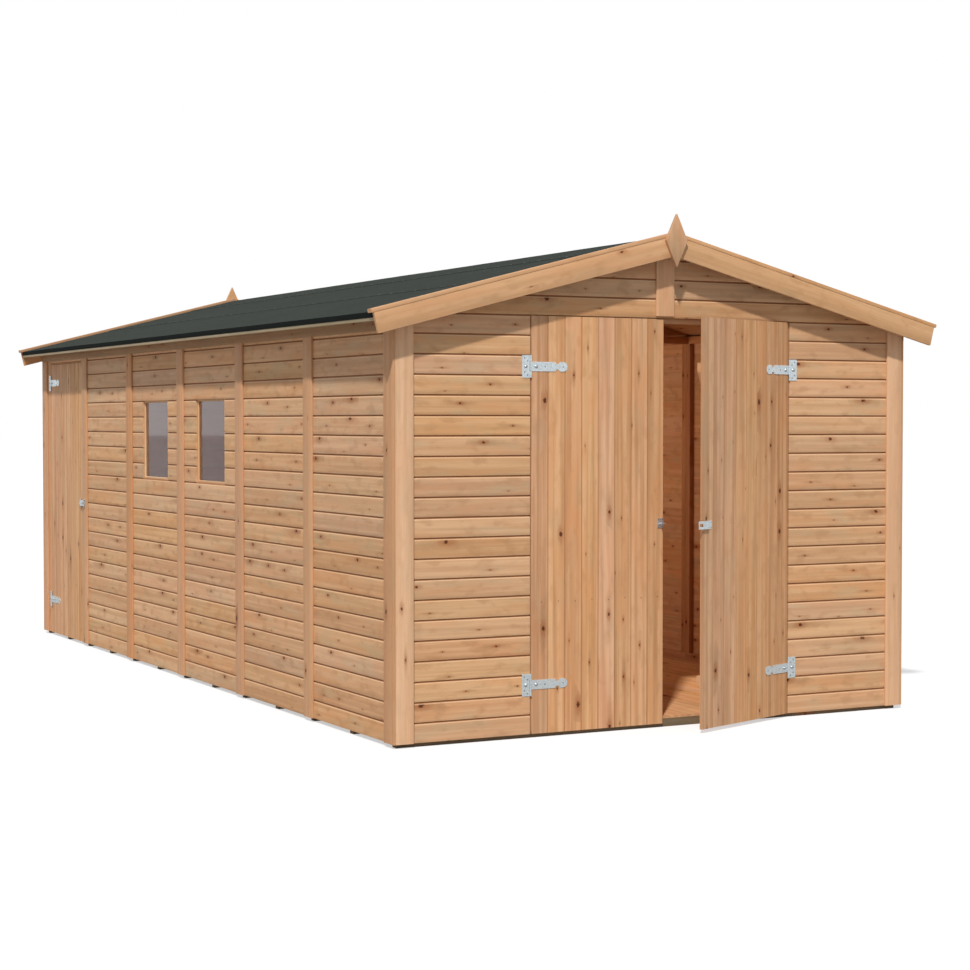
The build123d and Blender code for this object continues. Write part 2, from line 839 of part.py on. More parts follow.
side_door_boards = door_boards(side_leaf, -1, side_leaf_width, side_leaf_height)
save("side_door_boards", side_door_boards)
side_door_ledges = door_ledges(side_leaf, -1, side_leaf_width, side_leaf_height, side_hinge_drop)
save("side_door_ledges", side_door_ledges)
side_door_straps = hinge_straps(side_leaf, -1, side_heights)
save("side_door_straps", side_door_straps)


# Hasps. Each has its own plane on the surface that it is screwed to: the origin is under
# its knuckle, local X runs along the flap and local Z runs up.
def hasp_plane(leaf, out, knuckle_x, surface, height):
    """Plane on a leaf's surface, as far out from the hinge axis as surface says."""
    return Plane(
        origin=leaf.from_local_coords((knuckle_x, out * surface, height)), x_dir=leaf.x_dir, z_dir=(0, 0, 1)
    )


def hasp_plate(plane, out, pad_t):
    """Fixed plate with its two outer knuckles and the pin, on a pad where one is needed."""
    top = hasp_width / 2
    middle = hasp_knuckle_height / 2 + knuckle_gap
    start = -hasp_knuckle_r - knuckle_gap
    with BuildPart(plane) as plate:
        leaf_block(out, start - hasp_plate_length, start, 0, hasp_plate_t, -top, top)
        for z0, z1 in ((middle, top), (-top, -middle)):
            leaf_block(out, start, 0, 0, hasp_plate_t, z0, z1)
            with Locations((0, out * hasp_knuckle_r, (z0 + z1) / 2)):
                Cylinder(hasp_knuckle_r, z1 - z0)
        with Locations((0, out * hasp_knuckle_r, 0)):
            Cylinder(hasp_pin_r, hasp_width)
        if pad_t > 0:
            pad_end = hasp_knuckle_r
            pad_top = hasp_pad_height / 2
            leaf_block(out, pad_end - hasp_pad_width, pad_end, -pad_t, 0, -pad_top, pad_top)
    return plate


def hasp_flap(plane, out, slot_x):
    """Flap with its middle knuckle, and a slot for the staple."""
    outer = 2 * hasp_knuckle_r
    root = hasp_knuckle_r + knuckle_gap
    end = slot_x + hasp_reach
    half_knuckle = hasp_knuckle_height / 2
    with BuildPart(plane) as flap:
        leaf_block(out, root, end, outer - hasp_plate_t, outer, -hasp_width / 2, hasp_width / 2)
        leaf_block(out, 0, root, outer - hasp_plate_t, outer, -half_knuckle, half_knuckle)
        with Locations((0, out * hasp_knuckle_r, 0)):
            Cylinder(hasp_knuckle_r, hasp_knuckle_height)
        leaf_block(
            out,
            slot_x - hasp_slot_length / 2,
            slot_x + hasp_slot_length / 2,
            0,
            2 * outer,
            -hasp_slot_width / 2,
            hasp_slot_width / 2,
            Mode.SUBTRACT,
        )
        with Locations((0, out * hasp_knuckle_r, 0)):
            Cylinder(hasp_pin_r + pin_clearance, hasp_width, mode=Mode.SUBTRACT)
    return flap


def staple(plane, out, plate_x0):
    """Plate with a looped bar, at the origin of its plane."""
    half_loop = staple_width / 2 - staple_wire_r
    with BuildPart(plane) as loop:
        plate_x1 = plate_x0 + staple_plate_width
        plate_top = staple_plate_height / 2
        leaf_block(out, plate_x0, plate_x1, 0, hasp_plate_t, -plate_top, plate_top)
        leaf_block(
            out,
            -half_loop - staple_wire_r,
            half_loop + staple_wire_r,
            hasp_plate_t,
            staple_depth,
            -staple_wire_r,
            staple_wire_r,
        )
        leaf_block(
            out,
            -half_loop + staple_wire_r,
            half_loop - staple_wire_r,
            hasp_plate_t,
            staple_depth - 2 * staple_wire_r,
            -2 * staple_wire_r,
            2 * staple_wire_r,
            Mode.SUBTRACT,
        )
    return loop


front_free_edge = door_gap / 2 + front_leaf_width
front_knuckle_x = front_free_edge - hasp_setback
front_slot_x = hasp_setback + door_gap + staple_setback
leaf_face = -hinge_knuckle_r
front_hasp_plane = hasp_plane(right_leaf, 1, front_knuckle_x, leaf_face, hasp_height_above_bottom)
right_hasp_plate = hasp_plate(front_hasp_plane, 1, 0)
save("right_hasp_plate", right_hasp_plate)
right_hasp_flap = hasp_flap(front_hasp_plane, 1, front_slot_x)
save("right_hasp_flap", right_hasp_flap)

front_staple_x = front_free_edge - staple_setback
front_staple_plane = hasp_plane(left_leaf, -1, front_staple_x, leaf_face, hasp_height_above_bottom)
staple_plate_end = staple_setback - staple_plate_margin
left_door_staple = staple(front_staple_plane, -1, staple_plate_end - staple_plate_width)
save("left_door_staple", left_door_staple)

side_free_edge = door_gap / 2 + side_leaf_width
side_knuckle_x = side_free_edge - side_hasp_setback
side_surface = leaf_face + strip_t
side_hasp_plane = hasp_plane(side_leaf, -1, side_knuckle_x, side_surface, side_hasp_height)
side_staple_x = side_axis_y - last_joint
side_slot_x = side_staple_x - side_knuckle_x
side_hasp_plate = hasp_plate(side_hasp_plane, -1, strip_t)
save("side_hasp_plate", side_hasp_plate)
side_hasp_flap = hasp_flap(side_hasp_plane, -1, side_slot_x)
save("side_hasp_flap", side_hasp_flap)
side_staple_plane = hasp_plane(side_leaf, -1, side_staple_x, side_surface, side_hasp_height)
side_door_staple = staple(side_staple_plane, -1, -staple_plate_width / 2)
save("side_door_staple", side_door_staple)

print("Hinge axes:", left_leaf.origin, right_leaf.origin, side_leaf.origin)
print("Hasp axes:", front_hasp_plane.origin, side_hasp_plane.origin)
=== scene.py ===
# %% [markdown]
# The real object is a long garden shed of treated softwood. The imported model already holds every
# sheet, bar and hinge at its real size. This lesson gives them what a joiner would see up close:
# single boards with their joints, planed edges, knots, felt in laps, zinc on the ironwork.
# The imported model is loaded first, because every later piece takes its place from it.

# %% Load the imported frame
import json
import math

import bpy
import numpy as np
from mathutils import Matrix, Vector


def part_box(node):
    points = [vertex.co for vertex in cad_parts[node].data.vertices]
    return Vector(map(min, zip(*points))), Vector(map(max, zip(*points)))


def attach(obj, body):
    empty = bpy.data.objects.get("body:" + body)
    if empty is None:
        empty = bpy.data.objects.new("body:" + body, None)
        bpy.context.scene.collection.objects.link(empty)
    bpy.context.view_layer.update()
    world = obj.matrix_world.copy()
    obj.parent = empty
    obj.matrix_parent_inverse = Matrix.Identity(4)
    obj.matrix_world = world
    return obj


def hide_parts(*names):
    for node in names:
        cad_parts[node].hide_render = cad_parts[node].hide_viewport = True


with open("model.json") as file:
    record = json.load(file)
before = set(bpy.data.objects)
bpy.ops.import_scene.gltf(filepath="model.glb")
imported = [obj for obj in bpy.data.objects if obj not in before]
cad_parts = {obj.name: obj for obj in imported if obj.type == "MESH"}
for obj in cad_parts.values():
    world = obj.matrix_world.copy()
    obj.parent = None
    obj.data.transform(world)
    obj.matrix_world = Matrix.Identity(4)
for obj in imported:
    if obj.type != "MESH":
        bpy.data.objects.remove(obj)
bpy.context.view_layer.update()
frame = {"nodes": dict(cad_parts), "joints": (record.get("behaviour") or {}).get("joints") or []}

MM = 0.001

# %% [markdown]
# A shed is set out from a few lines: the faces of its walls, the bottom of the boards, the ridge
# and the pitch of the roof. They could be typed in again here, but a second copy of a size goes
# wrong as soon as the first one changes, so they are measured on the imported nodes.

# %% Setting out
ROOF_PITCH = math.radians(14.33)
BOARD_COVER = 97 * MM
PANEL_COUNT = 6
WINDOW_PANELS = (2, 3)

rear_low, rear_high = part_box("rear_panel")
front_low, front_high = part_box("front_left_panel")
side_low, side_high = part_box("right_wall_panels")
frame_low, frame_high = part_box("right_wall_frame")
slope = math.tan(ROOF_PITCH)
half_width = rear_high.x
board_bottom = rear_low.z
ridge_z = rear_high.z
eaves_z = ridge_z - half_width * slope
front_face = front_low.y
rear_face = rear_high.y
cladding_t = rear_high.y - rear_low.y
inner_half_width = frame_low.x
inner_half_length = frame_high.y
panel_pitch = 2 * inner_half_length / PANEL_COUNT
floor_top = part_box("floor_deck")[1].z
doorway_half = -front_high.x
doorway_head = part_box("front_head_panel")[0].z
joint_places = {joint["name"]: Vector(joint["pos_m"]) for joint in frame["joints"]}


def under_roof(x):
    """Height of the underside of the roof boards: the ridge less the distance from it times the slope."""
    return ridge_z - np.abs(x) * slope


print("half width", round(half_width, 4), "eaves", round(eaves_z, 4), "ridge", round(ridge_z, 4))

# %% [markdown]
# Every timber in the shed is one idea: a profile carried along a straight line, with its two ends
# cut square or at an angle. An array of cubes with a bevel would also do, but it can't cut ends to
# a roof slope or scoop a board's edge. Worked out as one array, hundreds of boards take no time.
# Each vertex also remembers where it is in its own board, so that grain follows the board.

# %% Meshes from rings
X = np.array([1.0, 0.0, 0.0])
Y = np.array([0.0, 1.0, 0.0])
Z = np.array([0.0, 0.0, 1.0])
SHARP_ANGLE = math.radians(35)
board_total = 0


def ring_solids(name, rings, grain, ends_closed=True):
    """Closed solids from rings of points, one solid per first index.

    Ring r is joined to ring r + 1 by four-sided faces, point k to point k + 1 round the ring, and
    the first and last rings are closed by flat faces. If the volume, which is the sum of corner
    dot normal over the faces, comes out negative, the faces are turned round.
    """
    global board_total
    solids, ring_count, points = rings.shape[:3]
    index = np.arange(solids * ring_count * points).reshape(solids, ring_count, points)
    low, high = index[:, :-1], index[:, 1:]
    quads = np.stack([low, np.roll(low, -1, 2), np.roll(high, -1, 2), high], -1).reshape(-1, 4)
    caps = np.concatenate([index[:, 0, ::-1], index[:, -1]]) if ends_closed else index[:0, 0]
    corner = rings.reshape(-1, 3)
    middle = corner.mean(0)
    spread = corner[quads] - middle
    halves = ((0, 1, 2), (0, 2, 3))
    volume = sum(np.einsum("ij,ij->i", spread[:, a], np.cross(spread[:, b], spread[:, c])).sum()
                 for a, b, c in halves)
    for face in caps:
        fan = corner[face] - middle
        volume += np.einsum("ij,ij->i", np.broadcast_to(fan[0], fan[1:-1].shape),
                            np.cross(fan[1:-1], fan[2:])).sum()
    if volume < 0:
        quads, caps = quads[:, ::-1], caps[:, ::-1]
    mesh = bpy.data.meshes.new(name)
    mesh.from_pydata(corner.tolist(), [], quads.tolist() + caps.tolist())
    mesh.attributes.new("grain", "FLOAT_VECTOR", "POINT").data.foreach_set("vector", grain.reshape(-1))
    number = board_total + np.broadcast_to(np.arange(solids)[:, None, None], index.shape)
    mesh.attributes.new("board", "FLOAT", "POINT").data.foreach_set("value", number.reshape(-1).astype(float))
    board_total += solids
    mesh.shade_smooth()
    mesh.set_sharp_from_angle(angle=SHARP_ANGLE)
    piece = bpy.data.objects.new(name, mesh)
    bpy.context.scene.collection.objects.link(piece)
    return piece


# %% [markdown]
# A board needs only its section, where it starts and ends, and three directions. Letting the start
# and end differ from point to point of the section is what cuts an end at an angle, as a saw does.
# Sections are flat outlines with their corners eased, because a planed edge is never quite sharp.

# %% Boards and sections
def planks(name, profile, start, end, origin, along, side, out):
    """Boards: point = origin + along * run + side * profile[0] + out * profile[1].

    The run goes from start to end, and both may differ from point to point of the profile, which
    is how an end is cut at an angle. Any argument may be one value or one per board.
    """
    profile = np.asarray(profile, float)
    origin = np.atleast_2d(origin)
    start, end = np.asarray(start, float), np.asarray(end, float)
    boards = max(len(origin), len(profile) if profile.ndim == 3 else 1,
                 len(start) if start.ndim else 1, len(end) if end.ndim else 1,
                 len(np.atleast_2d(along)), len(np.atleast_2d(side)), len(np.atleast_2d(out)))
    points = profile.shape[-2]

    def per_board(value, tail):
        value = np.asarray(value, float)
        if value.ndim == 1 and tail == (points,):
            value = value[:, None]
        return np.broadcast_to(value, (boards,) + tail)

    profile = per_board(profile, (points, 2))
    runs = np.stack([per_board(start, (points,)), per_board(end, (points,))], 1)
    axes = [per_board(np.atleast_2d(axis), (3,))[:, None, None] for axis in (along, side, out)]
    across, thick = profile[:, None, :, 0, None], profile[:, None, :, 1, None]
    rings = per_board(origin, (3,))[:, None, None] + runs[..., None] * axes[0] + across * axes[1] + thick * axes[2]
    steady = np.broadcast_to(profile[:, None], runs.shape + (2,))
    grain = np.concatenate([runs[..., None], steady], -1)
    return ring_solids(name, rings, grain)


def rounded(corners, radius=1.5 * MM, steps=3):
    """Outline with each corner eased: (1-t)^2 (P + d1 r) + 2t(1-t) P + t^2 (P + d2 r)."""
    corner = np.asarray(corners, float)
    before, after = np.roll(corner, 1, 0) - corner, np.roll(corner, -1, 0) - corner
    before *= radius / np.linalg.norm(before, axis=1, keepdims=True)
    after *= radius / np.linalg.norm(after, axis=1, keepdims=True)
    t = np.linspace(0, 1, steps)[None, :, None]
    first, last = (corner + before)[:, None], (corner + after)[:, None]
    return ((1 - t) ** 2 * first + 2 * t * (1 - t) * corner[:, None] + t ** 2 * last).reshape(-1, 2)


def bar(width, thickness, radius=1.5 * MM, steps=3):
    """Planed bar with eased edges, centred across, with its back at zero."""
    half = width / 2
    return rounded([(-half, 0), (half, 0), (half, thickness), (-half, thickness)], radius, steps)


print("board section points:", len(bar(45 * MM, 30 * MM)))

# %% [markdown]
# Softwood is the whole shed, so it gets one careful recipe. A photographed texture would repeat and
# isn't allowed here. Instead the growth rings are stretched noise along the board, knots are the
# centres of a cell pattern, one row of cells to a board, and the grain is pushed aside round each
# knot. A random number per board shifts its tone, as no two boards come from one tree.

# %% Nodes and colours
def linear(code):
    """sRGB hex to linear RGBA: c / 12.92 below 0.04045, else ((c + 0.055) / 1.055) ^ 2.4."""
    c = np.array([int(code[i:i + 2], 16) for i in (1, 3, 5)]) / 255
    return (*np.where(c <= 0.04045, c / 12.92, ((c + 0.055) / 1.055) ** 2.4).tolist(), 1.0)


def add(tree, kind, *values, **settings):
    """Adds a shader node, sets its properties, and feeds its inputs in their order.

    A value is a number, a colour, a socket, or a node that stands for its first output. A setting
    with a capital letter is an input by its name, so Scale=2.0 sets the input called Scale.
    """
    node = tree.nodes.new("ShaderNode" + kind)
    for key, value in settings.items():
        if key[0].islower():
            setattr(node, key, value)
    feeds = list(zip([socket for socket in node.inputs if socket.enabled], values))
    feeds += [(node.inputs[key.replace("_", " ")], value) for key, value in settings.items() if key[0].isupper()]
    for socket, value in feeds:
        if isinstance(value, bpy.types.Node):
            value = next(output for output in value.outputs if output.enabled)
        if isinstance(value, bpy.types.NodeSocket):
            tree.links.new(value, socket)
        else:
            socket.default_value = value
    return node


def new_material(name):
    """Empty material, as (material, tree)."""
    material = bpy.data.materials.new(name)
    material.use_nodes = True
    material.node_tree.nodes.clear()
    return material, material.node_tree


print("linear mid grey", linear("#808080")[0])

# %% [markdown]
# The boards are spruce, planed at the mill and dipped in a warm brown stain. To the eye that is a
# tan ground, streaks of the growth rings a few centimetres wide, softer patches where the stain
# took more or less, and dark knots with an orange ring that push the grain aside. Everything is
# read from the grain attribute, so it runs along each board, whichever way the board lies.

# %% Softwood
KNOT_SPACING = 0.26
KNOT_LEAST = 2.3 * MM
KNOT_MORE = 10 * MM
GRAIN_BUMP = 0.3 * MM


def softwood(name, light, dark, warm, grey, board_width, knots=0.4, streaks=0.6, spread=1.0, clouds=0.3,
             centred=True, edges=()):
    """Planed and dipped softwood: streaks, patches, knots and a tone of its own for each board.

    Knots is the share of cells that hold one. Edges is (from, to, colour, amount) rows that darken
    or brighten a board's outer face by its distance across: dark joints on the door boards, and painted
    shade under the lip and a painted highlight on the ledge of the wall boards.
    """
    material, tree = new_material(name)
    place = add(tree, "Attribute", attribute_name="grain").outputs["Vector"]
    number = add(tree, "Attribute", attribute_name="board").outputs["Fac"]
    chance = add(tree, "TexWhiteNoise", W=number, noise_dimensions="1D")
    luck = add(tree, "SeparateColor", chance.outputs["Color"]).outputs
    moved = add(tree, "VectorMath", number, (3.7, 0.0, 0.61), place, operation="MULTIPLY_ADD")

    # One row of cells to a board: the centre of a cell is a possible knot
    cell = add(tree, "VectorMath", moved, (1 / KNOT_SPACING, 1 / board_width, 0.0),
               (0.0, 0.5 if centred else 0.0, 0.0), operation="MULTIPLY_ADD")
    cell = add(tree, "VectorMath", number, (0.0, 7.0, 0.0), cell, operation="MULTIPLY_ADD")
    cells = add(tree, "TexVoronoi", Vector=cell, Scale=1.0, Randomness=0.85, voronoi_dimensions="2D")
    away = add(tree, "VectorMath", cell, cells.outputs["Position"], operation="SUBTRACT")
    away = add(tree, "VectorMath", away, (KNOT_SPACING, board_width, 0.0), operation="MULTIPLY")
    pick, size_luck, dark_luck = add(tree, "SeparateColor", cells.outputs["Color"]).outputs[:3]
    present = add(tree, "Math", pick, knots, operation="LESS_THAN")
    radius = add(tree, "Math", size_luck, 3.0, operation="POWER")
    radius = add(tree, "Math", radius, KNOT_MORE, KNOT_LEAST, operation="MULTIPLY_ADD")
    wobble = add(tree, "TexNoise", place, 110.0, 2.0)

    def round_knot(stretch, near, far):
        """Weight round a knot: 1 up to near and 0 past far, in knot radii, with a ragged edge and
        distances along the board shortened by stretch."""
        flat = add(tree, "VectorMath", away, (stretch, 1.0, 0.0), operation="MULTIPLY")
        distance = add(tree, "Math", add(tree, "VectorMath", flat, operation="LENGTH"), radius, operation="DIVIDE")
        ragged = add(tree, "Math", wobble, 1.3, distance, operation="MULTIPLY_ADD")
        weight = add(tree, "MapRange", ragged, near + 0.65, far + 0.65, 1.0, 0.0, interpolation_type="SMOOTHSTEP")
        return add(tree, "Math", weight, present, operation="MULTIPLY")

    knot, halo, flame = round_knot(0.7, 0.6, 1.15), round_knot(0.4, 0.8, 2.8), round_knot(0.15, 0.5, 3.8)
    bend = add(tree, "Math", halo, add(tree, "SeparateXYZ", away).outputs[1], operation="MULTIPLY")
    bend = add(tree, "CombineXYZ", 0.0, add(tree, "Math", bend, 0.8, operation="MULTIPLY"), 0.0)
    flow = add(tree, "VectorMath", moved, bend, operation="SUBTRACT")

    # Waves per metre along and across: rings, fibres, two kinds of patch, and clouds of figure
    streak, fibre, warm_patch, grey_patch, cloud = [
        add(tree, "TexNoise", add(tree, "VectorMath", where, waves, operation="MULTIPLY"), 1.0, detail)
        for where, waves, detail in ((flow, (0.8, 38.0, 38.0), 3.0), (flow, (7.0, 380.0, 380.0), 2.0),
                                     (moved, (2.2, 17.0, 17.0), 2.0), (moved, (3.4, 12.0, -12.0), 3.0),
                                     (flow, (10.0, 21.0, 21.0), 2.0))]
    colour = linear(light)
    for pattern, low, high, most, code in ((streak, 0.36, 0.66, streaks, dark), (warm_patch, 0.44, 0.7, 0.6, warm),
                                           (grey_patch, 0.5, 0.74, 0.5, grey), (cloud, 0.5, 0.72, clouds, dark)):
        amount = add(tree, "MapRange", pattern, low, high, 0.0, most, interpolation_type="SMOOTHSTEP")
        colour = add(tree, "Mix", amount, colour, linear(code), data_type="RGBA")
    hue, saturation, value = [
        add(tree, "Math", chosen, reach * spread, middle - reach * spread / 2, operation="MULTIPLY_ADD")
        for chosen, reach, middle in zip(luck, (0.007, 0.13, 0.14), (0.499, 1.0, 1.0))]
    fine = add(tree, "MapRange", fibre, 0.3, 0.7, 1.04, 0.95)
    colour = add(tree, "HueSaturation", Hue=hue, Saturation=saturation, Color=colour,
                 Value=add(tree, "Math", value, fine, operation="MULTIPLY"))
    for weight, chosen, more, least, code in ((flame, dark_luck, 0.42, 0.04, "#96704A"), (halo, dark_luck, 0.2, 0.4, "#A4623A"),
                                              (knot, size_luck, 0.25, 0.7, "#51230C")):
        amount = add(tree, "Math", chosen, more, least, operation="MULTIPLY_ADD")
        amount = add(tree, "Math", weight, amount, operation="MULTIPLY")
        colour = add(tree, "Mix", amount, colour, linear(code), data_type="RGBA")
    _, across, depth = add(tree, "SeparateXYZ", place).outputs
    across = add(tree, "Math", across, operation="ABSOLUTE")
    weather_side = add(tree, "MapRange", depth, 2 * MM, 3 * MM, 0.0, 1.0)
    # Bands across the outer face: dark joints on the doors, and painted shade and a painted highlight at the wall
    # boards' lips and ledges.
    for near, far, code, most in edges:
        amount = add(tree, "MapRange", across, near, far, 0.0, most, interpolation_type="SMOOTHSTEP")
        amount = add(tree, "Math", amount, weather_side, operation="MULTIPLY")
        colour = add(tree, "Mix", amount, colour, linear(code), data_type="RGBA")

    height = add(tree, "Math", streak, fibre, operation="ADD")
    height = add(tree, "Math", add(tree, "Math", knot, 0.5, operation="MULTIPLY"), height, operation="SUBTRACT")
    shader = add(tree, "BsdfPrincipled", Base_Color=colour, IOR=1.5, Specular_IOR_Level=0.22,
                 Roughness=add(tree, "Math", streak, 0.15, 0.55, operation="MULTIPLY_ADD"),
                 Normal=add(tree, "Bump", Strength=0.5, Distance=GRAIN_BUMP, Height=height))
    add(tree, "OutputMaterial", shader)
    return material


print("softwood recipe ready")

# %% [markdown]
# One recipe serves every timber, but they aren't one wood: the wall boards are knotty, the strips
# and barge boards are picked clear, the frame is left undipped and glows redder in the room, and
# the bearers are pressure treated. Each gets its own four colours and its own share of knots.

# %% The timbers of the shed
SCOOP_HEIGHT = 12.5 * MM
# Bands on the outer face of each wall board: a painted highlight on the scoop's ledge, and painted shade just under
# the lip of the board above.
painted_ledge_highlight = (BOARD_COVER - 1.15 * SCOOP_HEIGHT, BOARD_COVER - 1.0 * SCOOP_HEIGHT, "#F3CFA6", 0.45)
painted_lip_shade = (BOARD_COVER - 0.76 * SCOOP_HEIGHT, BOARD_COVER - 0.6 * SCOOP_HEIGHT, "#8A5128", 0.8)
wall_wood = softwood("dipped_spruce_shiplap", "#DAAF85", "#BC8F66", "#D39D70", "#C1A985", BOARD_COVER, knots=0.45,
                     clouds=0.55, centred=False, edges=(painted_ledge_highlight, painted_lip_shade))
strip_wood = softwood("dipped_spruce_strip", "#D3A279", "#BD8E62", "#CD966A", "#B99873", 110 * MM, knots=0.2,
                      streaks=0.5)
corner_wood = softwood("pale_spruce_corner_strip", "#E0B68E", "#CA9C73", "#D9A67C", "#C6A580", 105 * MM, knots=0.2,
                       streaks=0.5)
door_wood = softwood("dipped_spruce_door", "#DEB086", "#BD8C62", "#D69C6E", "#C3A27C", 95 * MM, knots=0.4,
                     streaks=0.85, clouds=0.35, edges=((42.5 * MM, 45 * MM, "#8A5B36", 0.4),))
barge_wood = softwood("dipped_spruce_barge", "#D4A77C", "#BA8C60", "#CB976B", "#B89872", 100 * MM, knots=0.12,
                      streaks=0.5, clouds=0.5)
# The eaves board's wood is darkened all over as painted shade, for the shadow under the overhang.
eaves_painted_shade_wood = softwood("spruce_eaves_board_painted_shade", "#B18A64", "#96714C", "#A97D57", "#97805F", 100 * MM, knots=0.25)
frame_wood = softwood("planed_spruce_frame", "#C4936A", "#A97A52", "#B57C55", "#A37E5C", 45 * MM)
floor_wood = softwood("planed_spruce_floor", "#D8A87A", "#BD875B", "#CE9264", "#B7926A", 102 * MM, knots=0.5)
bearer_wood = softwood("pressure_treated_bearer", "#83705A", "#66563F", "#735D43", "#6F6650", 45 * MM)
batten_wood = softwood("pale_treated_batten", "#AD9C7C", "#948465", "#A18D6E", "#978D71", 26 * MM, knots=0.2)
roof_wood = softwood("planed_spruce_roof", "#BC9066", "#9B724B", "#AA7A50", "#99805F", 100 * MM)
print("softwood materials:", len(bpy.data.materials))

# %% [markdown]
# Walls are clad in shiplap. Each board has a scoop along its top edge, and the square lower edge of
# the next board stands over it. The scoop's ledge catches the light and the lip above it throws a
# dark line. A bump map could fake that line, but it would vanish on the outline and at the corners,
# so the real section is carried along every board.

# %% Shiplap
SCOOP_DEPTH = 6.5 * MM
BACK_CHAMFER = 0.4 * MM
LIP_RADIUS = 0.8 * MM


def shiplap(height=BOARD_COVER):
    """Section of one board, (up, out). The scoop at its top is half a cosine wave:
    out = thickness - SCOOP_DEPTH (1 + cos pi t) / 2, at SCOOP_HEIGHT t below the top edge."""
    t = np.linspace(0, 1, 9)
    scoop = np.stack([height - SCOOP_HEIGHT * t, cladding_t - SCOOP_DEPTH * (1 + np.cos(math.pi * t)) / 2], 1)
    face = np.linspace(height - SCOOP_HEIGHT, LIP_RADIUS, 6)[1:]
    face = np.stack([face, np.full(len(face), cladding_t)], 1)
    lip = [(0.3 * LIP_RADIUS, cladding_t - 0.3 * LIP_RADIUS), (0, cladding_t - LIP_RADIUS)]
    back = [(0, BACK_CHAMFER), (BACK_CHAMFER, 0), (height - BACK_CHAMFER, 0), (height, BACK_CHAMFER)]
    return np.concatenate([scoop, face, lip, back])


def finish_piece(piece, body, slot, material, *nodes):
    """Gives a piece its finish and says which body it rides on and which nodes it stands for."""
    piece.data.materials.append(material)
    if nodes:
        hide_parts(*nodes)
    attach(piece, body)
    print(piece.name, len(piece.data.polygons), "faces")
    return piece


def roof_limit(z):
    """Half width of the gable at height z: the wall's, or less where the roof cuts it."""
    return np.clip((ridge_z - z) / slope, 2 * MM, half_width)


def gable_boards(name, face_y, out, split_below, inner, nodes):
    """Rows of shiplap on one gable, cut to the roof at their outer ends, and split round a doorway
    or at the middle joint below the height split_below."""
    rows = int((ridge_z - board_bottom) / BOARD_COVER)
    z = board_bottom + BOARD_COVER * np.arange(rows)
    section = shiplap()
    outer = roof_limit(z[:, None] + section[None, :, 0])
    split = z < split_below - 1 * MM
    inner_end = np.broadcast_to(inner, outer.shape)
    start = np.concatenate([-outer[split], inner_end[split], -outer[~split]])
    end = np.concatenate([-inner_end[split], outer[split], outer[~split]])
    height = np.concatenate([z[split], z[split], z[~split]])
    origin = np.stack([0 * height, np.full(len(height), face_y - out * cladding_t), height], 1)
    piece = planks(name, section, start, end, origin, X, Z, out * Y)
    return finish_piece(piece, "shell", "weatherboards", wall_wood, *nodes)


gable_boards("front_gable_boards", front_face, -1, doorway_head, doorway_half,
             ("front_left_panel", "front_right_panel", "front_head_panel"))
gable_boards("rear_gable_boards", rear_face, 1, ridge_z, 1 * MM, ("rear_panel",))

print("doorway", round(2 * doorway_half, 3), "m wide, head at", round(doorway_head, 3))

# %% [markdown]
# A long side is six panels, as delivered: each panel's boards stop at a joint that a cover strip
# hides later. Two panels on the left hold a window and the last one holds a door, so their boards
# are cut round those openings. Areas are listed first, and rows of boards fill each area.

# %% Boards of the long sides
window_low, window_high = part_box("window_frames")
window_size = window_high.z - window_low.z
bay_low, bay_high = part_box("left_door_side_panels")
side_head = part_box("left_door_head_panel")[0].z
side_door_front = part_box("left_door_head_panel")[0].y
side_door_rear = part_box("left_door_head_panel")[1].y
window_centres = [-inner_half_length + (panel + 0.5) * panel_pitch for panel in WINDOW_PANELS]


def side_rows(y0, y1, low, high):
    """Rows (y0, y1, z, height) of whole boards from low to high; the last is as wide as it must be."""
    first = int(round((low - board_bottom) / BOARD_COVER - 0.4))
    last = int((high - board_bottom) / BOARD_COVER)
    edges = board_bottom + BOARD_COVER * np.arange(first, last + 1)
    edges[0], edges[-1] = low, high
    return [(y0, y1, z, top - z) for z, top in zip(edges, edges[1:])]


def side_boards(name, side, spans, nodes):
    """Shiplap on one long side, from a list of (y0, y1, low, high) areas."""
    rows = np.array([row for span in spans for row in side_rows(*span)])
    section = np.stack([shiplap(height) for height in rows[:, 3]])
    origin = np.stack([np.full(len(rows), side * (half_width - cladding_t)), 0 * rows[:, 0], rows[:, 2]], 1)
    piece = planks(name, section, rows[:, 0], rows[:, 1], origin, Y, Z, side * X)
    return finish_piece(piece, "shell", "weatherboards", wall_wood, *nodes)


gap = 1 * MM
whole = []
left = []
for panel in range(PANEL_COUNT):
    y0 = -inner_half_length + panel * panel_pitch + gap
    y1 = y0 + panel_pitch - 2 * gap
    whole.append((y0, y1, board_bottom, eaves_z))
    if panel in WINDOW_PANELS:
        middle = (y0 + y1) / 2
        near, far = middle - window_size / 2, middle + window_size / 2
        left += [(y0, y1, board_bottom, window_low.z), (y0, near, window_low.z, window_high.z),
                 (far, y1, window_low.z, window_high.z), (y0, y1, window_high.z, eaves_z)]
    elif panel == PANEL_COUNT - 1:
        hinge_board = (side_door_rear, y1)
        left += [(y0, side_door_front, board_bottom, eaves_z), (side_door_front, side_door_rear, side_head, eaves_z)]
    else:
        left.append((y0, y1, board_bottom, eaves_z))
side_boards("left_side_boards", -1, left, ("left_wall_panels", "left_door_side_panels", "left_door_head_panel"))
side_boards("right_side_boards", 1, whole, ("right_wall_panels",))

# %% [markdown]
# Planed strips cover the joints between the wall panels and the corners, and a board runs under
# the eaves. They are plain 12 mm boards with their edges eased by sandpaper, so the profile is a
# rectangle with softened corners. The tops of those on the gables are cut to the roof.

# %% Cover strips
STRIP_EASE = 2 * MM


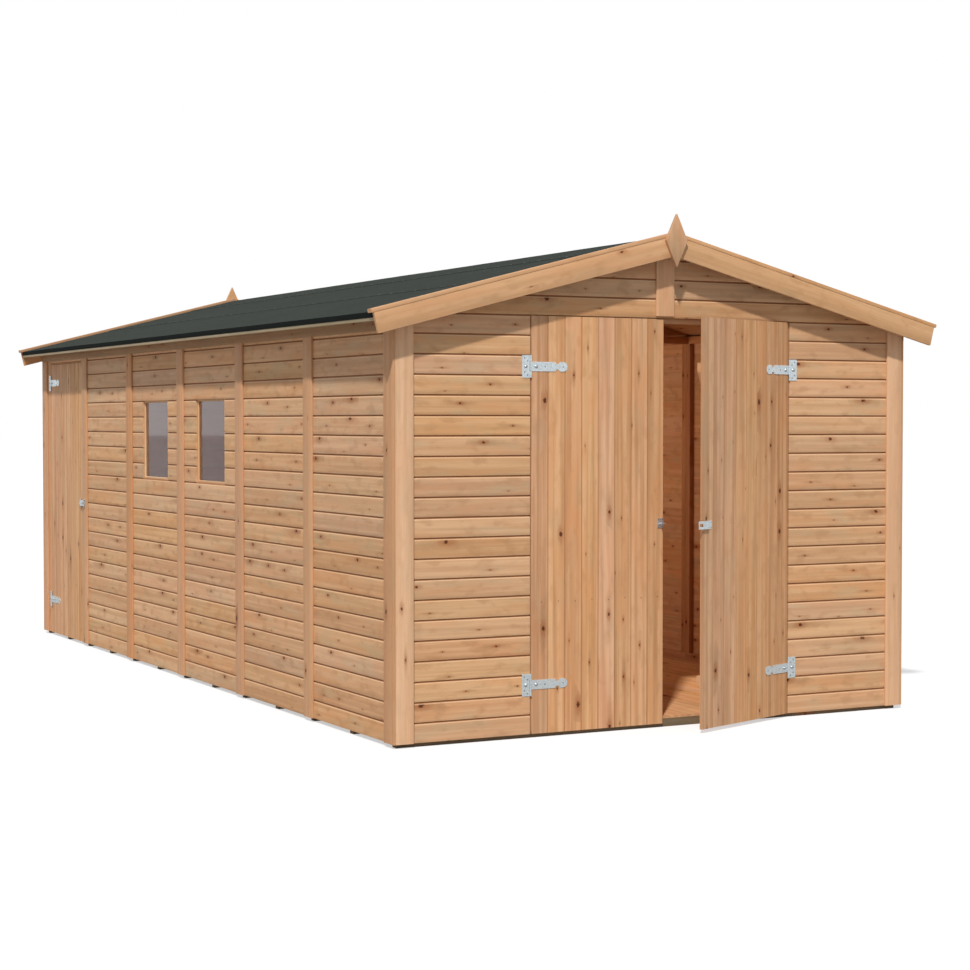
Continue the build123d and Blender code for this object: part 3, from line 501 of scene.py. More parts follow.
def upright_strips(name, centres, width, thickness, low, high, out, nodes, slope_cut=False, wood=strip_wood):
    """Upright strips with their backs at centres; with slope_cut the tops follow the roof."""
    centres = np.atleast_2d(centres)
    out = np.atleast_2d(out)
    side = np.cross(out, Z)
    section = bar(width, thickness, STRIP_EASE)
    top = np.full((len(centres), len(section)), high)
    if slope_cut:
        x = centres[:, :1] + side[:, :1] * section[None, :, 0]
        top = under_roof(x)
    piece = planks(name, section, np.full(len(centres), low), top, centres, Z, side, out)
    return finish_piece(piece, "shell", "cover_strip_wood", wood, *nodes)


strips_low, strips_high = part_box("cover_strips")
strip_t = strips_high.x - half_width
strip_width = 2 * (strips_high.y - 2 * panel_pitch)
joint_y = (np.arange(1, PANEL_COUNT) - PANEL_COUNT / 2) * panel_pitch
both = [(side, y) for side in (-1, 1) for y in joint_y]
upright_strips("cover_strips_planed", [(side * half_width, y, 0) for side, y in both], strip_width, strip_t,
               board_bottom, strips_high.z, [(side, 0, 0) for side, y in both], ("cover_strips",))

# Beside the side door's hinges the wall is one upright board, as thick as the shiplap
width = hinge_board[1] - hinge_board[0]
upright_strips("hinge_side_board", (cladding_t - half_width, sum(hinge_board) / 2, 0), width, cladding_t,
               board_bottom, eaves_z, (-1, 0, 0), ())

corner_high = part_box("side_corner_strips")[1]
corner_y = corner_high.y - strip_width / 2
both = [(side, y) for side in (-1, 1) for y in (-corner_y, corner_y)]
upright_strips("side_corner_strips_planed", [(side * half_width, y, 0) for side, y in both], strip_width, strip_t,
               board_bottom, corner_high.z, [(side, 0, 0) for side, y in both], ("side_corner_strips",))

CORNER_STRIP_WIDTH = 95 * MM
corner_x = half_width - CORNER_STRIP_WIDTH / 2
both = [(end, x) for end in (-1, 1) for x in (-corner_x, corner_x)]
upright_strips("gable_corner_strips_planed",
               [(x, front_face if end < 0 else rear_face, 0) for end, x in both], CORNER_STRIP_WIDTH, strip_t,
               board_bottom, 0, [(0, end, 0) for end, x in both], ("gable_corner_strips",), slope_cut=True,
               wood=corner_wood)

apex_low, apex_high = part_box("front_apex_strip")
upright_strips("front_apex_strip_planed", (0, front_face, 0), 2 * apex_high.x, strip_t, apex_low.z, 0,
               (0, -1, 0), ("front_apex_strip",), slope_cut=True, wood=corner_wood)
upright_strips("rear_centre_strip_planed", (0, rear_face, 0), 2 * apex_high.x, strip_t, board_bottom, 0,
               (0, 1, 0), ("rear_centre_strip",), slope_cut=True, wood=corner_wood)

# %% [markdown]
# The board under the eaves is given a darker wood than the strips: painted shade for the deep shadow
# under the overhang. It stands on the ends of the cover strips and its top edge is planed to the roof's pitch.

# %% Eaves boards
eaves_low, eaves_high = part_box("right_eaves_board")
face_x = eaves_high.x
section = rounded([(eaves_low.z, 0), (under_roof(half_width), 0), (under_roof(face_x), strip_t),
                   (eaves_low.z, strip_t)], STRIP_EASE)
for side, word in ((-1, "left"), (1, "right")):
    piece = planks(word + "_eaves_board_planed", section, eaves_low.y, eaves_high.y, (side * half_width, 0, 0),
                   Y, Z, side * X)
    finish_piece(piece, "shell", "cover_strip_wood", eaves_painted_shade_wood, word + "_eaves_board")

# %% [markdown]
# Behind the boards stands a light frame of 45 x 30 mm battens: posts, rails at the foot and under
# the roof, and battens round each window. It shows through the ajar door and from inside, so
# each batten is its own timber with its grain along its length, and not one cut-out sheet.

# %% Wall frames
POST = 45 * MM
frame_t = frame_high.x - frame_low.x
BATTEN_EASE = 1.5 * MM


def battens(name, bars, nodes, thickness=frame_t, width=POST, slot="wall_framing", material=None):
    """Battens from a list of (start, end, across): each runs from start to end along the middle of
    its back, is width wide across, and thickness deep along the third axis."""
    first = np.array([b[0] for b in bars], float)
    run = np.array([b[1] for b in bars], float) - first
    length = np.linalg.norm(run, axis=1)
    along = run / length[:, None]
    side = np.array([b[2] for b in bars], float)
    out = np.array([b[3] for b in bars], float)
    piece = planks(name, bar(width, thickness, BATTEN_EASE, 2), np.zeros(len(bars)), length, first, along, side, out)
    return finish_piece(piece, "shell", slot, material or frame_wood, *nodes)


def side_frame_bars(side):
    """Battens of one long side: rails at the foot and the head, posts at the ends and middle of each
    panel, and short ones under, over and beside a window."""
    x = side * inner_half_width
    out = (side, 0, 0)
    across = (0, 1, 0)
    bars = []
    foot, head = floor_top + POST, eaves_z - POST
    for panel in range(PANEL_COUNT):
        y0 = -inner_half_length + panel * panel_pitch
        y1 = y0 + panel_pitch
        middle = (y0 + y1) / 2
        door_bay = side < 0 and panel == PANEL_COUNT - 1
        if door_bay:
            bars += [((x, (y0 + side_door_front) / 2, floor_top), (x, (y0 + side_door_front) / 2, eaves_z), across, out)]
            bars += [((x, y1 - POST / 2, floor_top), (x, y1 - POST / 2, eaves_z), across, out),
                     ((x, side_door_rear + POST / 2, floor_top), (x, side_door_rear + POST / 2, eaves_z), across, out)]
            bars += [((x, side_door_front, eaves_z - POST / 2), (x, side_door_rear, eaves_z - POST / 2), Z, out),
                     ((x, side_door_front, side_head + POST / 2), (x, side_door_rear, side_head + POST / 2), Z, out)]
            continue
        for z in (floor_top + POST / 2, eaves_z - POST / 2):
            bars.append(((x, y0, z), (x, y1, z), Z, out))
        for y in (y0 + POST / 2, y1 - POST / 2):
            bars.append(((x, y, foot), (x, y, head), across, out))
        if side < 0 and panel in WINDOW_PANELS:
            bars += [((x, middle, foot), (x, middle, window_low.z - POST), across, out),
                     ((x, middle, window_high.z + POST), (x, middle, head), across, out)]
            for z in (window_low.z - POST / 2, window_high.z + POST / 2):
                bars.append(((x, y0 + POST, z), (x, y1 - POST, z), Z, out))
            for y in (middle - window_size / 2 - POST / 2, middle + window_size / 2 + POST / 2):
                bars.append(((x, y, window_low.z), (x, y, window_high.z), across, out))
        else:
            bars.append(((x, middle, foot), (x, middle, head), across, out))
    return bars


battens("left_frame_battens", side_frame_bars(-1), ("left_wall_frame", "left_door_head_rail", "left_door_post"))
battens("right_frame_battens", side_frame_bars(1), ("right_wall_frame",))


# %% [markdown]
# The gables' frames have posts up to the roof, a rail at the foot and two sloping battens under the
# boards of the roof. A loose batten over the doorway stops the double door as it shuts.

# %% Frames of the gables
def gable_frame_bars(y, out, posts, bottom):
    """Battens of one gable: posts up to the roof, and a foot rail between them."""
    bars = []
    cut = POST / math.cos(ROOF_PITCH)
    for x in posts:
        bars.append(((x, y, bottom), (x, y, float(under_roof(abs(x) + POST / 2)) - cut), X, out))
    for left_x, right_x in zip(posts, posts[1:]):
        bars.append(((left_x + POST / 2, y, bottom + POST / 2), (right_x - POST / 2, y, bottom + POST / 2), Z, out))
    return bars


def rafter_pair(y, out):
    """The two sloping battens under the roof of a gable."""
    drop = POST / 2 / math.cos(ROOF_PITCH)
    down = Vector((0, 0, -drop))
    bars = []
    for side in (-1, 1):
        top = Vector((side * 1 * MM, y, ridge_z)) + down
        foot = Vector((side * (half_width - 6 * MM), y, float(under_roof(half_width - 6 * MM)))) + down
        across = (side * math.sin(ROOF_PITCH), 0, math.cos(ROOF_PITCH))
        bars.append((top, foot, across, out))
    return bars


outer_post = half_width - POST / 2
front_back = front_face + cladding_t + frame_t
rear_back = rear_face - cladding_t - frame_t
door_post = doorway_half + POST / 2
head_post = doorway_half - POST / 2
front_bars = rafter_pair(front_back, -Y)
for posts, low in (([-outer_post, -door_post], floor_top), ([door_post, outer_post], floor_top),
                   ([-head_post, 0, head_post], doorway_head)):
    front_bars += gable_frame_bars(front_back, -Y, posts, low)
battens("front_frame_battens", front_bars, ("front_left_frame", "front_right_frame", "front_head_frame"))

# The batten that the double door closes against, behind the tops of the leaves
DOOR_STOP = (27 * MM, 25 * MM)
stop = planks("door_stop_batten", bar(*DOOR_STOP), -doorway_half, doorway_half,
              (0, front_back, doorway_head - DOOR_STOP[0] / 2), X, Z, -Y)
finish_piece(stop, "shell", "wall_framing", strip_wood)
rear_posts = list(np.linspace(-outer_post, outer_post, 7))
battens("rear_frame_battens", rafter_pair(rear_back, Y) + gable_frame_bars(rear_back, Y, rear_posts, floor_top),
        ("rear_frame",))

# %% [markdown]
# The floor is tongued boards on thirteen bearers. The bearers' ends show under the side boards and
# the first one shows as a dark line under the front. The bearers are pressure treated, which
# leaves them a duller, greyer brown than the dipped boards.

# %% Floor
deck_low, deck_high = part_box("floor_deck")
bearer_low, bearer_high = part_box("floor_bearers")
DECK_BOARDS = 29
BEARERS = 13
BEARER_WIDTH = 45 * MM
deck_cover = (deck_high.x - deck_low.x) / DECK_BOARDS
deck_t = deck_high.z - deck_low.z
x = deck_low.x + deck_cover * (np.arange(DECK_BOARDS) + 0.5)
origin = np.stack([np.tile(x, 2), np.zeros(2 * DECK_BOARDS), np.full(2 * DECK_BOARDS, deck_low.z)], 1)
start = np.repeat([deck_low.y, 0.5 * MM], DECK_BOARDS)
end = np.repeat([-0.5 * MM, deck_high.y], DECK_BOARDS)
deck = planks("floor_boards", bar(deck_cover - 0.4 * MM, deck_t, 1.2 * MM, 2), start, end, origin, Y, X, Z)
finish_piece(deck, "shell", "floor_wood", floor_wood, "floor_deck")

bearer_y = np.linspace(bearer_low.y + BEARER_WIDTH / 2, bearer_high.y - BEARER_WIDTH / 2, BEARERS)
origin = np.stack([0 * bearer_y, bearer_y, 0 * bearer_y], 1)
bearers = planks("floor_bearer_timbers", bar(BEARER_WIDTH, bearer_high.z, 2 * MM), bearer_low.x, bearer_high.x,
                 origin, X, Y, Z)
finish_piece(bearers, "shell", "floor_wood", bearer_wood, "floor_bearers")

# %% [markdown]
# The roof is boards laid along the shed, on a ridge beam, purlins and two trusses. Outside, only
# their ends and undersides show at the overhangs, but the whole underside shows from within.

# %% Roof timbers
roof_low, roof_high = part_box("roof_boards_right")
ROOF_BOARDS = 17
board_rise = 12 * MM / math.cos(ROOF_PITCH)
roof_cover = roof_high.x / ROOF_BOARDS
for side, word in ((-1, "left"), (1, "right")):
    x = roof_cover * (np.arange(ROOF_BOARDS) + 0.5)
    origin = np.stack([side * x, 0 * x, ridge_z - x * slope], 1)
    piece = planks(word + "_roof_planks", bar(roof_cover - 0.4 * MM, board_rise, 1 * MM, 2), roof_low.y, roof_high.y,
                   origin, Y, np.array([side, 0, -slope]), Z)
    finish_piece(piece, "shell", "roof_wood", roof_wood, "roof_boards_" + word)

batten_low, batten_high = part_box("eaves_battens")
EAVES_BATTEN = 20 * MM
inner_x = batten_high.x - EAVES_BATTEN
for_batten = [(batten_low.z, 0), (under_roof(inner_x), 0), (under_roof(batten_high.x), EAVES_BATTEN),
              (batten_low.z, EAVES_BATTEN)]
eaves = planks("eaves_batten_timbers", rounded(for_batten, 1 * MM), batten_low.y, batten_high.y,
               [(side * inner_x, 0, 0) for side in (-1, 1)], Y, Z, [(side, 0, 0) for side in (-1, 1)])
finish_piece(eaves, "shell", "roof_wood", batten_wood, "eaves_battens")

VERGE_BATTEN = 30 * MM
verge_low, verge_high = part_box("verge_battens")
drop_section = rounded([(-VERGE_BATTEN, 0), (0, 0), (0, VERGE_BATTEN), (-VERGE_BATTEN, VERGE_BATTEN)], 1 * MM)
both = [(side, end) for side in (-1, 1) for end in (-1, 1)]
verge = planks("verge_batten_timbers", drop_section, 0.5 * MM, inner_x,
               [(0, verge_high.y - VERGE_BATTEN if end > 0 else verge_low.y, ridge_z) for side, end in both],
               [(side, 0, -slope) for side, end in both], Z, Y)
finish_piece(verge, "shell", "roof_wood", roof_wood, "verge_battens")

# %% [markdown]
# A ridge beam and two purlins carry the roof boards, and two trusses divide their span. Each truss
# is a tie at eaves height, a pair of rafters and a short post, and all of these are bars again,
# only their ends are cut to the pitch: the cut is a run that differs across the profile.

# %% Ridge beam, purlins and trusses
RIDGE_WIDTH = 30 * MM
RIDGE_HEIGHT = 70 * MM
PURLIN_HEIGHT = 45 * MM
TRUSS_T = 45 * MM
RAFTER = 70 * MM
TIE = 45 * MM
truss_low, truss_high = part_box("roof_trusses")
truss_y = truss_high.y - TRUSS_T / 2
span_ends = [(-inner_half_length, -truss_y - TRUSS_T / 2), (-truss_y + TRUSS_T / 2, truss_y - TRUSS_T / 2),
             (truss_y + TRUSS_T / 2, inner_half_length)]
half_ridge = RIDGE_WIDTH / 2


def roof_bar_section(x, height):
    """Section (across, up) of a bar under the roof at x: flat below, and cut to the slope above."""
    corners = [(-half_ridge, under_roof(x) - height), (half_ridge, under_roof(x) - height),
               (half_ridge, under_roof(x + half_ridge)), (-half_ridge, under_roof(x - half_ridge))]
    if x == 0:
        corners.insert(3, (0, ridge_z))
    else:
        corners.insert(3, (0, under_roof(x)))
    return rounded(corners, 1 * MM, 2)


section, origin, start, end = [], [], [], []
for y0, y1 in span_ends:
    for x, height in ((-head_post, PURLIN_HEIGHT), (0, RIDGE_HEIGHT), (head_post, PURLIN_HEIGHT)):
        section.append(roof_bar_section(x, height))
        origin.append((x, 0, 0))
        start.append(y0)
        end.append(y1)
ridge = planks("ridge_and_purlin_timbers", np.array(section), np.array(start), np.array(end), origin, Y, X, Z)
finish_piece(ridge, "shell", "wall_framing", frame_wood, "ridge_and_purlins")

truss_foot = half_width - RAFTER / slope
rows, start, end, origin, along, across = [], [], [], [], [], []
for y in (-truss_y, truss_y):
    tie = rounded([(0, 0), (TIE, 0), (TIE, TRUSS_T), (0, TRUSS_T)])
    rows.append(tie)
    start.append(np.full(len(tie), -inner_half_width))
    end.append(np.full(len(tie), inner_half_width))
    origin.append((0, y - TRUSS_T / 2, eaves_z - TIE))
    along.append(X)
    across.append(Z)
    for side in (-1, 1):
        rafter = rounded([(-RAFTER, 0), (0, 0), (0, TRUSS_T), (-RAFTER, TRUSS_T)])
        reach = np.minimum(inner_half_width, (ridge_z + rafter[:, 0] - eaves_z) / slope)
        rows.append(rafter)
        start.append(np.full(len(rafter), 0.2 * MM))
        end.append(reach)
        origin.append((0, y - TRUSS_T / 2, ridge_z))
        along.append(np.array([side, 0, -slope]))
        across.append(Z)
    post = rounded([(-POST / 2, 0), (POST / 2, 0), (POST / 2, TRUSS_T), (-POST / 2, TRUSS_T)])
    rows.append(post)
    start.append(np.full(len(post), eaves_z))
    end.append(under_roof(post[:, 0]) - RAFTER)
    origin.append((0, y - TRUSS_T / 2, 0))
    along.append(Z)
    across.append(X)
truss = planks("roof_truss_timbers", np.array(rows), np.array(start), np.array(end), origin, along, across, Y)
finish_piece(truss, "shell", "wall_framing", frame_wood, "roof_trusses")

# %% [markdown]
# Barge boards close the roof's edges at both gables, with a flat cap on top and a diamond finial
# over the mitre. They are the most seen timbers of the shed. Each is a bar along the slope whose
# upper end is cut upright: a point that lies s below the top edge starts s tan(pitch) further on.

# %% Barge boards, caps and finials
barge_low, barge_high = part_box("barge_boards")
cap_low, cap_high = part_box("verge_caps")
finial_low, finial_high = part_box("finials")
BARGE_T = 18 * MM
BARGE_HEIGHT = 100 * MM
CAP_WIDTH = 45 * MM
CAP_T = 17.5 * MM
FELT_T = 2 * MM
MITRE = 0.5 * MM
roof_top = ridge_z + (12 * MM + FELT_T) / math.cos(ROOF_PITCH)


def slope_boards(name, height, thickness, top_z, reach_x, y_starts, nodes, ease):
    """Boards on the four verges, square at the eaves and upright at the ridge."""
    section = rounded([(0, 0), (height, 0), (height, thickness), (0, thickness)], ease)
    both = [(side, end) for side in (-1, 1) for end in (0, 1)]
    start = (MITRE + section[:, 0] * math.sin(ROOF_PITCH)) / math.cos(ROOF_PITCH)
    length = reach_x / math.cos(ROOF_PITCH)
    along = [(side * math.cos(ROOF_PITCH), 0, -math.sin(ROOF_PITCH)) for side, end in both]
    down = [(-side * math.sin(ROOF_PITCH), 0, -math.cos(ROOF_PITCH)) for side, end in both]
    origin = [(0, y_starts[end], top_z) for side, end in both]
    starts = np.broadcast_to(start, (4, len(start)))
    piece = planks(name, section, starts, np.full((4, len(start)), length), origin, along, down, Y)
    return finish_piece(piece, "shell", "barge_wood", barge_wood, *nodes)


slope_boards("barge_boards_planed", BARGE_HEIGHT, BARGE_T, roof_top, barge_high.x,
             (barge_low.y, barge_high.y - BARGE_T), ("barge_boards",), 0.6 * MM)
slope_boards("verge_caps_planed", CAP_T, CAP_WIDTH, roof_top + CAP_T / math.cos(ROOF_PITCH), cap_high.x,
             (cap_low.y, cap_high.y - CAP_WIDTH), ("verge_caps",), 1.0 * MM)

FINIAL_CHAMFER = 2 * MM
half_w = finial_high.x
half_h = (finial_high.z - finial_low.z) / 2
finial_t = 20 * MM
diamond = rounded([(0, -half_h), (half_w, 0), (0, half_h), (-half_w, 0)], 2 * MM)
rings = []
for y0 in (finial_low.y, finial_high.y - finial_t):
    depth = np.array([0, FINIAL_CHAMFER, finial_t - FINIAL_CHAMFER, finial_t])
    scale = 1 - np.array([1, 0, 0, 1]) * FINIAL_CHAMFER / half_w
    ring = np.zeros((4, len(diamond), 3))
    ring[..., 0] = scale[:, None] * diamond[None, :, 0]
    ring[..., 1] = y0 + depth[:, None]
    ring[..., 2] = finial_low.z + half_h + scale[:, None] * diamond[None, :, 1]
    rings.append(ring)
rings = np.array(rings)
grain = np.stack([rings[..., 2], rings[..., 0], rings[..., 1]], -1)
finish_piece(ring_solids("finials_planed", rings, grain), "shell", "barge_wood", barge_wood, "finials")

# %% [markdown]
# The doors are upright boards with a small V at each joint, held by two ledges and a brace behind.
# Everything on a leaf is set out from its hinge line: x runs along the leaf to its free edge, out
# is away from the building. One function turns those into the shed's own axes for any leaf.

# %% Door leaves
KNUCKLE = 4.5 * MM
DOOR_GAP = 5 * MM
DOOR_BOARDS = 8
DOOR_V = 2.5 * MM
DOOR_T = 12 * MM
LEDGE = (46 * MM, 28 * MM)
LEDGE_INSET = 10 * MM
LEDGE_RISE = 240 * MM
AJAR = math.radians(20.8)
front_leaf_width = (2 * doorway_half - 3 * DOOR_GAP) / 2
side_leaf_width = side_door_rear - side_door_front - 2 * DOOR_GAP
leaf_low, leaf_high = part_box("left_door_boards")
side_leaf_low, side_leaf_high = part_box("side_door_boards")
leaves = {
    "left": dict(axis=joint_places["left_door_hinge"], run=X, out=-Y, width=front_leaf_width,
                 height=leaf_high.z - leaf_low.z, drop=246 * MM, body="left_door"),
    "right": dict(axis=joint_places["right_door_hinge"], run=np.array([-math.cos(AJAR), -math.sin(AJAR), 0]),
                  out=np.array([math.sin(AJAR), -math.cos(AJAR), 0]), width=front_leaf_width,
                  height=leaf_high.z - leaf_low.z, drop=246 * MM, body="right_door"),
    "side": dict(axis=joint_places["side_door_hinge"], run=-Y, out=-X, width=side_leaf_width,
                 height=side_leaf_high.z - side_leaf_low.z, drop=130 * MM, body="side_door"),
}


def leaf_point(leaf, x, out, z):
    """Point x along a leaf, out from its hinge line and z above the foot of the boards."""
    axis = np.array(leaf["axis"])
    axis[2] = board_bottom
    return axis + leaf["run"] * x + leaf["out"] * out + Z * z


def v_board(width, thickness, v, back):
    """Section of a tongued board: a V at both front edges and a small chamfer at the back."""
    half = width / 2
    return np.array([(-half, back), (-half + back, 0), (half - back, 0), (half, back), (half, thickness - v),
                     (half - v, thickness), (half / 3, thickness), (-half / 3, thickness),
                     (-half + v, thickness), (-half, thickness - v)])


for word, leaf in leaves.items():
    cover = leaf["width"] / DOOR_BOARDS
    x = DOOR_GAP / 2 + cover * (np.arange(DOOR_BOARDS) + 0.5)
    origin = np.array([leaf_point(leaf, value, -KNUCKLE - DOOR_T, 0) for value in x])
    piece = planks(word + "_door_planks", v_board(cover - 0.2 * MM, DOOR_T, DOOR_V, 0.6 * MM), 0, leaf["height"],
                   origin, Z, leaf["run"], leaf["out"])
    finish_piece(piece, leaf["body"], "door_wood", door_wood, word + "_door_boards")

    back = -KNUCKLE - DOOR_T - LEDGE[1]
    low, high = LEDGE_RISE, leaf["height"] - leaf["drop"]
    first, last = DOOR_GAP / 2 + LEDGE_INSET, DOOR_GAP / 2 + leaf["width"] - LEDGE_INSET
    section = bar(*LEDGE, 2 * MM)
    brace_low, brace_high = low + LEDGE[0] / 2, high - LEDGE[0] / 2
    rise, reach = brace_high - brace_low, last - first
    foot = LEDGE[0] * math.hypot(reach, rise) / rise
    lean = np.array([(reach - foot), rise]) / math.hypot(reach - foot, rise)
    slant = leaf["run"] * lean[0] + Z * lean[1]
    brace_half = foot * lean[1] / 2
    cut = section[:, 0] * lean[0] / lean[1] * (2 * brace_half / LEDGE[0])
    brace = section * np.array([2 * brace_half / LEDGE[0], 1])
    length = math.hypot(reach - foot, rise)
    piece = planks(word + "_door_ledge_timbers", np.array([section, section, brace]),
                   np.array([np.full(len(section), first), np.full(len(section), first), cut]),
                   np.array([np.full(len(section), last), np.full(len(section), last), length + cut]),
                   [leaf_point(leaf, 0, back, low), leaf_point(leaf, 0, back, high),
                    leaf_point(leaf, first + foot / 2, back, brace_low)],
                   [leaf["run"], leaf["run"], slant], [Z, Z, leaf["run"] * lean[1] - Z * lean[0]], leaf["out"])
    finish_piece(piece, leaf["body"], "ledge_wood", strip_wood, word + "_door_ledges")

# %% [markdown]
# Each window is a fixed pane in a rebated square frame. Four mitred bars make the frame: an end
# cut at 45 degrees is a run that starts as far along as the point lies across.

# %% Windows
WINDOW_BAR = 12 * MM
window_t = window_high.x - window_low.x
glass_low, glass_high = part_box("window_glass")
rebate_front = glass_low.x - window_low.x
glass_t = glass_high.x - glass_low.x
GROOVE = 5 * MM
inner = np.array([(WINDOW_BAR - 3 * MM, 0), (WINDOW_BAR, rebate_front - 1 * MM), (WINDOW_BAR, rebate_front),
                  (WINDOW_BAR - GROOVE, rebate_front), (WINDOW_BAR - GROOVE, rebate_front + glass_t),
                  (WINDOW_BAR, rebate_front + glass_t), (WINDOW_BAR, window_t - 1 * MM), (WINDOW_BAR - 1 * MM, window_t),
                  (1 * MM, window_t), (0, window_t - 1 * MM), (0, 1 * MM), (1 * MM, 0)])
size = window_size
middle_z = (window_low.z + window_high.z) / 2
origin, along, across = [], [], []
for y in window_centres:
    for quarter in range(4):
        turn = quarter * math.pi / 2
        run = np.array([0, math.cos(turn), math.sin(turn)])
        inward = np.array([0, -math.sin(turn), math.cos(turn)])
        origin.append(np.array([window_low.x, y, middle_z]) - (run + inward) * size / 2)
        along.append(run)
        across.append(inward)
sash_wood = softwood("planed_spruce_sash", "#DDB88E", "#C79C70", "#D2A478", "#C4A47C", 25 * MM, knots=0.1)
piece = planks("window_frame_bars", inner, np.broadcast_to(inner[:, 0], (8, len(inner))),
               np.broadcast_to(size - inner[:, 0], (8, len(inner))), origin, along, across, X)
finish_piece(piece, "shell", "window_wood", sash_wood, "window_frames")

# %% [markdown]
# Glass is given its real index of refraction, 1.5, and lets light through. What is seen in it is
# the white of the studio over the dark of the room, which together read as a soft grey.

# %% Glass
def dress(node, material):
    """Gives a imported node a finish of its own, in place of the plain colour it came with."""
    mesh = frame["nodes"][node].data
    mesh.materials.clear()
    mesh.materials.append(material)


# Float glass with a film of dust: clear, slightly grey, with one sharp reflection
glass, tree = new_material("horticultural_glass_pane")
pane = add(tree, "BsdfPrincipled", Base_Color=linear("#C1B0B3"), Transmission_Weight=1.0, Roughness=0.03, IOR=1.5,
           Specular_IOR_Level=0.35)
add(tree, "OutputMaterial", pane)
dress("window_glass", glass)

# %% [markdown]
# The ironwork is pressed steel with a coat of zinc. Up close, hot-dip zinc is a patchwork of
# crystals, each a little lighter or darker than the next. Cells of a Voronoi pattern are just that,
# so each cell's own number sets its grey and its polish. A metal's colour is its base colour.

# %% Galvanised steel
def galvanised(name, light, dark, metallic, polish=0.34):
    """Hot-dip zinc on pressed steel: a bright grey with a mottle of crystals a few millimetres wide."""
    material, tree = new_material(name)
    place = add(tree, "TexCoord").outputs["Object"]
    crystals = add(tree, "TexVoronoi", Vector=place, Scale=1 / (6 * MM), voronoi_dimensions="3D")
    luck = add(tree, "SeparateColor", crystals.outputs["Color"])
    shader = add(tree, "BsdfPrincipled", Metallic=metallic,
                 Base_Color=add(tree, "Mix", luck, linear(light), linear(dark), data_type="RGBA"),
                 Roughness=add(tree, "Math", luck, 0.16, polish, operation="MULTIPLY_ADD"),
                 Normal=add(tree, "Bump", Strength=0.15, Distance=0.2 * MM, Height=luck))
    add(tree, "OutputMaterial", shader)
    return material


steel = galvanised("galvanised_pressed_steel", "#E6EEF2", "#CAD6DC", 1.0)
head_steel = galvanised("galvanised_bolt_head", "#C8D0D4", "#A3ADB2", 1.0, 0.2)
screw_steel = galvanised("bright_screw_head", "#8D9599", "#6C7479", 1.0, 0.3)
ironwork = [node for node in frame["nodes"]
            if any(word in node for word in ("hinge_plates", "straps", "staple", "hasp"))]
for node in ironwork:
    dress(node, steel)
print("zinc on", ironwork)

# %% [markdown]
# Two coach bolts and a few screws hold each hinge. A head is a small dome: its radius falls off
# as the cosine and its height grows as the sine of the same angle. They sit on the steel and
# ride with the plate or the leaf that they fasten.

# %% Bolt and screw heads
PLATE_T = 2.5 * MM
HASP_T = 2.0 * MM
HEAD_POINTS = 12
HINGE_ROWS = {"left": (0.24, 0.246), "right": (0.24, 0.246), "side": (0.24, 0.13)}


def heads(name, body, material, places, out, side, radius, height, up=Z):
    """Domed heads: ring k is at radius r cos(a) and height h sin(a), for a from 0 to 75 degrees."""
    places, radius, height = np.atleast_2d(places), np.atleast_1d(radius), np.atleast_1d(height)
    angle = np.radians([0, 0, 25, 50, 75])
    lift = np.sin(angle)
    lift[0] = -0.35
    around = np.linspace(0, 2 * math.pi, HEAD_POINTS, endpoint=False)
    ring = np.stack([np.cos(around), np.sin(around)], -1)
    r = radius.reshape(-1, 1, 1, 1) * np.cos(angle)[None, :, None, None]
    h = height.reshape(-1, 1, 1, 1) * lift[None, :, None, None]
    flat = ring[None, None, :, :1] * np.asarray(side, float) + ring[None, None, :, 1:] * up
    rings = places[:, None, None] + r * flat + h * np.asarray(out, float)
    rings = np.broadcast_to(rings, (len(places), len(angle), HEAD_POINTS, 3)).copy()
    piece = ring_solids(name, rings, rings)
    piece.data.materials.append(material)
    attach(piece, body)
    print(name, len(places), "heads")
    return piece


BOLT = (9.5, 6.0)
SCREW = (3.6, 1.4)
for word, leaf in leaves.items():
    low, drop = HINGE_ROWS[word]
    rows = (low, leaf["height"] - drop)
    shut = dict(leaf, run=-X if word == "right" else leaf["run"], out=-Y if word == "right" else leaf["out"])
    face = -KNUCKLE + PLATE_T
    for name, place, body, bolt_x, screws in (
            ("plate", shut, "shell", -26.5, ((-34, 41), (-18, 27), (-34, -27), (-18, -41))),
            ("strap", leaf, leaf["body"], 31.5, ((80, 0), (182.5, 0)))):
        bolts = [leaf_point(place, bolt_x * MM, face, z) for z in rows]
        small = [leaf_point(place, x * MM, face, z + dz * MM) for z in rows for x, dz in screws]
        for kind, material, where, (radius, height) in (("bolts", head_steel, bolts, BOLT),
                                                        ("screws", screw_steel, small, SCREW)):
            heads(word + "_" + name + "_" + kind, body, material, where, place["out"], place["run"],
                  np.full(len(where), radius * MM), np.full(len(where), height * MM))

# %% [markdown]
# The hasps and staples are held by four screws each, set in from the corners of their plates. The
# side door's hasp stands on a small block of wood, which lifts it over the cover strip beside the
# door. On the left leaf a row of nails shows across the boards, where the lower ledge is fixed.

